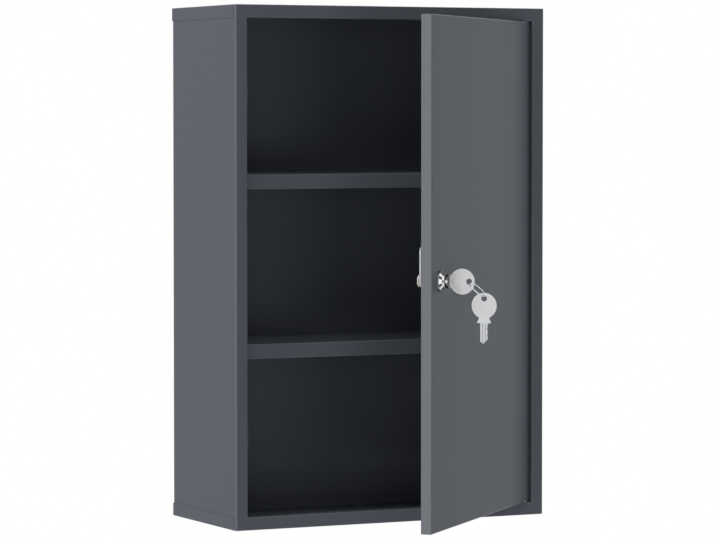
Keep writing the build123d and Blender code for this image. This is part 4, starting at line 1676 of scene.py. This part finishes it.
@dataclass
class KeySet:
    """The key in the lock, the spare key and their split ring.

    A key's own coordinates are X from the middle of its bow to its tip, Y across and Z through it.
    """

    bow_radius: float = 14.15
    bow_rim: float = 2.0
    relief: float = 0.2
    half_thickness: float = 1.0
    hole_radius: float = 3.4
    hole_offset: float = 8.0
    boss: float = 1.2
    boss_drop: float = 0.03
    web_overlap: float = 0.2
    web_edge: float = 0.02
    key_smooth: float = 28.0
    neck_half: float = 6.0
    wing_half: float = 7.6
    wing_start: float = 14.8
    wing_height: float = 1.6
    shoulder: float = 19.2
    blade_half: float = 4.2
    blade_overlap: float = 0.05
    blade_edge: float = 0.05
    land_softness: float = 0.8
    tip: float = 41.6
    tip_long: float = 5.0
    tip_short: float = 2.6
    groove_half: float = 0.55
    groove_offset: float = 1.6
    groove_depth: float = 0.45
    bitting: tuple[float, ...] = (0.7, 1.1, 0.5, 0.9, 0.6)
    bitting_first: float = 3.6
    bitting_pitch: float = 3.0
    bitting_floor: float = 0.35
    soft: float = 0.16
    ring_radius: float = 10.3
    wire_reach: float = 0.5
    wire_half: float = 0.29
    wire_sides: int = 12
    ring_roll: float = 2.2
    ring_play: float = 0.3
    ring_wire: float = 1.2
    ring_start: float = 4.0
    ring_sweep: float = 712.0
    ring_steps: int = 200
    ring_smooth: float = 50.0
    cross_start: float = 335.0
    cross_sweep: float = 50.0

    def build(self) -> None:
        """Build both keys and the ring through their holes."""
        door = DoorFrame()
        outward, along = door.outward, door.along
        hole = Vector(joint("key_ring_swing")["pos_m"])
        wire = Vector(joint("spare_key_swing")["pos_m"])
        wire_offset = self.hole_radius - self.ring_wire / 2 - self.ring_play
        bow = hole - outward * self.hole_offset * MM
        spare_bow = wire - UP * (wire_offset + self.hole_offset) * MM
        self.build_key("key_cut", "key", placed(bow, -outward, along))
        self.build_key("spare_key_cut", "spare_key", placed(spare_bow, -UP, -along))
        self.build_ring(hole, wire, along)

    def blade_outline(self) -> list[Point2]:
        """Outline the blade, with its bitting on the upper side and its off-centre tip.

        Returns:
            The outline's corners.
        """
        half, tip, floor = self.blade_half, self.tip, self.bitting_floor
        start = self.shoulder - self.blade_overlap
        corners = [(start, -half), (tip - self.tip_short, -half), (tip, self.tip_short - half),
                   (tip, half - self.tip_long), (tip - self.tip_long, half)]
        for number, depth in reversed(list(enumerate(self.bitting))):
            middle = self.shoulder + self.bitting_first + number * self.bitting_pitch
            corners += [(middle + floor + depth, half), (middle + floor, half - depth),
                        (middle - floor, half - depth), (middle - floor - depth, half)]
        return corners + [(start, half)]

    def build_key(self, name: str, node: str, placement: Matrix) -> None:
        """Build a key: bow with a raised rim and boss, winged neck and grooved blade.

        Args:
            name: Name of the piece.
            node: The CAD node that it stands for.
            placement: Where the key goes.
        """
        mesh = PieceMesh(name, self.key_smooth)
        top, soft = self.half_thickness, self.soft
        face, floor = top - self.relief, top - self.groove_depth
        middle = (-self.hole_offset, 0.0)
        inner = self.bow_radius - self.bow_rim
        hole = circle(self.hole_radius, 40, middle)
        mesh.plate(circle(inner + self.web_overlap), [hole], -face, face, self.web_edge)
        mesh.plate(self.rim_outline(), [circle(inner, 96)], -top, top, soft)
        raised = top - self.boss_drop
        mesh.plate(circle(self.hole_radius + self.boss, 48, middle), [hole], -raised, raised, soft)
        blade = self.blade_outline()
        mesh.plate(blade, [], -floor, floor, self.blade_edge)
        limits = (-self.blade_half, -self.groove_offset, self.groove_offset, self.blade_half)
        for low, high in zip(limits, limits[1:]):
            start = low if low == limits[0] else low + self.groove_half
            end = high if high == limits[-1] else high - self.groove_half
            land = keep_side(keep_side(blade, start, 1), end, -1)
            mesh.plate(land, [], -top, top, soft * self.land_softness)
        mesh.finish(placement, KEY_NICKEL, node, (node,))

    def rim_outline(self) -> list[Point2]:
        """Outline the bow together with the neck and its two wings.

        Returns:
            The outline's corners.
        """
        wing, wing_end = self.wing_half, self.shoulder - self.wing_height
        side = math.degrees(math.asin(self.neck_half / self.bow_radius))
        edge = [(self.wing_start, self.neck_half), (wing_end, wing), (self.shoulder, wing)]
        return arc(self.bow_radius, side, 360 - side, 88) + [(x, -y) for x, y in edge] + list(reversed(edge))

    def build_ring(self, hole: Vector, wire: Vector, along: Vector) -> None:
        """Build the split ring: two turns of flattened wire that lie against each other.

        Args:
            hole: Middle of the hole of the key in the lock.
            wire: Where the wire carries the spare key.
            along: Direction of the joints of the ring.
        """
        direction = (wire - hole).normalized()
        across = Matrix.Rotation(math.radians(self.ring_roll), 3, direction) @ along
        middle = wire - direction * self.ring_radius * MM
        mesh = PieceMesh("key_ring_coiled", self.ring_smooth)
        spins = [FULL_TURN * side / self.wire_sides for side in range(self.wire_sides)]
        cross_start, cross_sweep = math.radians(self.cross_start), math.radians(self.cross_sweep)
        rings = []
        for step in range(self.ring_steps + 1):
            turn = math.radians(self.ring_start + self.ring_sweep * step / self.ring_steps)
            share = min(1.0, max(0.0, (turn - cross_start) / cross_sweep))
            lift = self.wire_half * (2.0 * share * share * (3.0 - 2.0 * share) - 1.0)
            reaches = [self.ring_radius + self.wire_reach * math.cos(spin) for spin in spins]
            rings.append(mesh.ring(
                (reach * math.cos(turn), reach * math.sin(turn), lift + self.wire_half * math.sin(spin))
                for reach, spin in zip(reaches, spins)))
        mesh.skin(rings)
        mesh.face(list(reversed(rings[0])))
        mesh.face(rings[-1])
        mesh.finish(placed(middle, across, across.cross(direction)), RING_STEEL, "key_ring", ("key_ring",))


# Studio


@dataclass(frozen=True)
class SoftLamp:
    """A soft square lamp that looks at the cabinet.

    Args:
        name: Name of the lamp.
        azimuth: Direction from the front, in degrees, positive to the right.
        elevation: Height above the middle of the cabinet, in degrees.
        distance: Distance from the cabinet, in metres.
        size: Side of the lamp, in metres.
        power: Power in watts.
    """

    name: str
    azimuth: float
    elevation: float
    distance: float
    size: float
    power: float

    def build(self, target: Vector) -> None:
        """Place the lamp.

        Args:
            target: The point that it looks at.
        """
        turn, rise = math.radians(self.azimuth), math.radians(self.elevation)
        away = Vector((math.sin(turn) * math.cos(rise), -math.cos(turn) * math.cos(rise), math.sin(rise)))
        light = bpy.data.lights.new(self.name, "AREA")
        light.shape = "SQUARE"
        light.size = self.size
        light.energy = self.power
        lamp = add_object(self.name, light)
        lamp.location = target + away * self.distance
        lamp.rotation_euler = away.to_track_quat("Z", "Y").to_euler()
        lamp.visible_camera = False
        lamp.visible_glossy = False


@dataclass
class Studio:
    """Camera, lamps, pale floor and white surroundings."""

    eye: tuple[float, float, float] = (-1.85017, -3.75998, 0.47507)
    yaw: float = 0.457145
    tilt: float = 0.04392
    lens: float = 178.048
    film_width: float = 36.0
    middle: tuple[float, float, float] = (0.0, -0.08, 0.3)
    floor_level: float = -1.3
    floor_size: float = 90.0
    floor_colour: Colour = (0.8, 0.8, 0.8)
    floor_glow: float = 0.6
    near_floor: float = 2.4
    far_floor: float = 5.0
    ambient: float = 0.147
    lamps: tuple[SoftLamp, ...] = (
        SoftLamp("left_lamp", -88.0, 30.0, 5.0, 2.5, 132.8),
        SoftLamp("low_left_lamp", -45.0, -12.0, 4.0, 1.5, 8.1),
        SoftLamp("front_left_lamp", -25.0, 2.0, 5.0, 1.5, 11.9),
        SoftLamp("low_front_lamp", -8.0, -9.0, 5.0, 1.2, 30.1),
        SoftLamp("high_front_lamp", -20.0, 50.0, 5.0, 1.5, 46.8),
        SoftLamp("right_lamp", 95.0, 10.0, 1.6, 0.8, 9.4),
        SoftLamp("back_lamp", 165.0, 20.0, 5.0, 2.0, 85.0),
    )

    def build(self) -> None:
        """Build the whole studio."""
        self.build_camera()
        self.build_surroundings()
        self.build_floor()
        for lamp in self.lamps:
            lamp.build(Vector(self.middle))
            log.info("lamp %s", lamp.name)

    def build_camera(self) -> None:
        """Place the camera where the photograph was seen from."""
        data = bpy.data.cameras.new("front_left_camera")
        data.sensor_width = self.film_width
        data.lens = self.lens
        camera = add_object("front_left_camera", data)
        camera.location = self.eye
        camera.rotation_euler = (math.pi / 2 - self.tilt, 0.0, -self.yaw)
        bpy.context.scene.camera = camera

    def seen_directly(self, wiring: Wiring) -> Socket:
        """Tell whether a ray sees the white surroundings.

        Args:
            wiring: Wiring of the world or of the floor's material.

        Returns:
            1 for camera, glossy and transmission rays, otherwise 0.
        """
        path = wiring.node("ShaderNodeLightPath")
        seen: object = 0.0
        for kind in RayKind:
            seen = wiring.math("MAXIMUM", seen, path.outputs[kind.value])
        return seen

    def build_surroundings(self) -> None:
        """Make the world white to look at and dim as a light."""
        world = bpy.data.worlds.new("studio")
        wiring = fresh_wiring(world)
        back = wiring.node("ShaderNodeBackground")
        wiring.feed(back.inputs["Color"], WHITE)
        strength = wiring.span(self.seen_directly(wiring), 0.0, 1.0, self.ambient, 1.0)
        wiring.feed(back.inputs["Strength"], strength)
        wiring.feed(wiring.node("ShaderNodeOutputWorld").inputs["Surface"], back.outputs["Background"])
        bpy.context.scene.world = world

    def build_floor(self) -> None:
        """Lay the pale floor, which turns plain white far away and is see-through from below."""
        half = self.floor_size / 2
        mesh = bpy.data.meshes.new("floor")
        mesh.from_pydata([(x, y, 0.0) for x, y in rectangle(-half, half, half)], [], [(0, 1, 2, 3)])
        floor = add_object("floor", mesh)
        floor.location = (0.0, 0.0, self.floor_level)
        material = bpy.data.materials.new("pale_floor")
        wiring = fresh_wiring(material)
        pale = wiring.node("ShaderNodeBsdfDiffuse")
        wiring.feed(pale.inputs["Color"], (*self.floor_colour, 1.0))
        white = wiring.node("ShaderNodeEmission").outputs["Emission"]
        reach = wiring.node("ShaderNodeVectorMath", operation="LENGTH")
        wiring.feed(reach.inputs[0], wiring.coordinate())
        glow = wiring.span(reach.outputs["Value"], self.near_floor, self.far_floor, self.floor_glow, 1.0)
        above = wiring.mix_shaders(
            wiring.math("MULTIPLY", glow, self.seen_directly(wiring)), pale.outputs["BSDF"], white)
        below = wiring.math("MULTIPLY", wiring.node("ShaderNodeNewGeometry").outputs["Backfacing"],
                            self.seen_directly(wiring))
        clear = wiring.node("ShaderNodeBsdfTransparent").outputs["BSDF"]
        whole = wiring.mix_shaders(below, above, clear)
        wiring.feed(wiring.node("ShaderNodeOutputMaterial").inputs["Surface"], whole)
        mesh.materials.append(material)


def main() -> None:
    """Build and dress every sub-assembly, then the studio."""
    logging.basicConfig(level=logging.INFO, format="%(message)s")
    bpy.context.scene.view_settings.view_transform = "Standard"
    for assembly in (CabinetBody(), Shelving(), DoorLeaf(), HingeSet(), CamLock(), KeySet(), Studio()):
        log.info("building %s", type(assembly).__name__)
        assembly.build()
    bpy.context.view_layer.update()


if __name__ == "__main__":
    main()
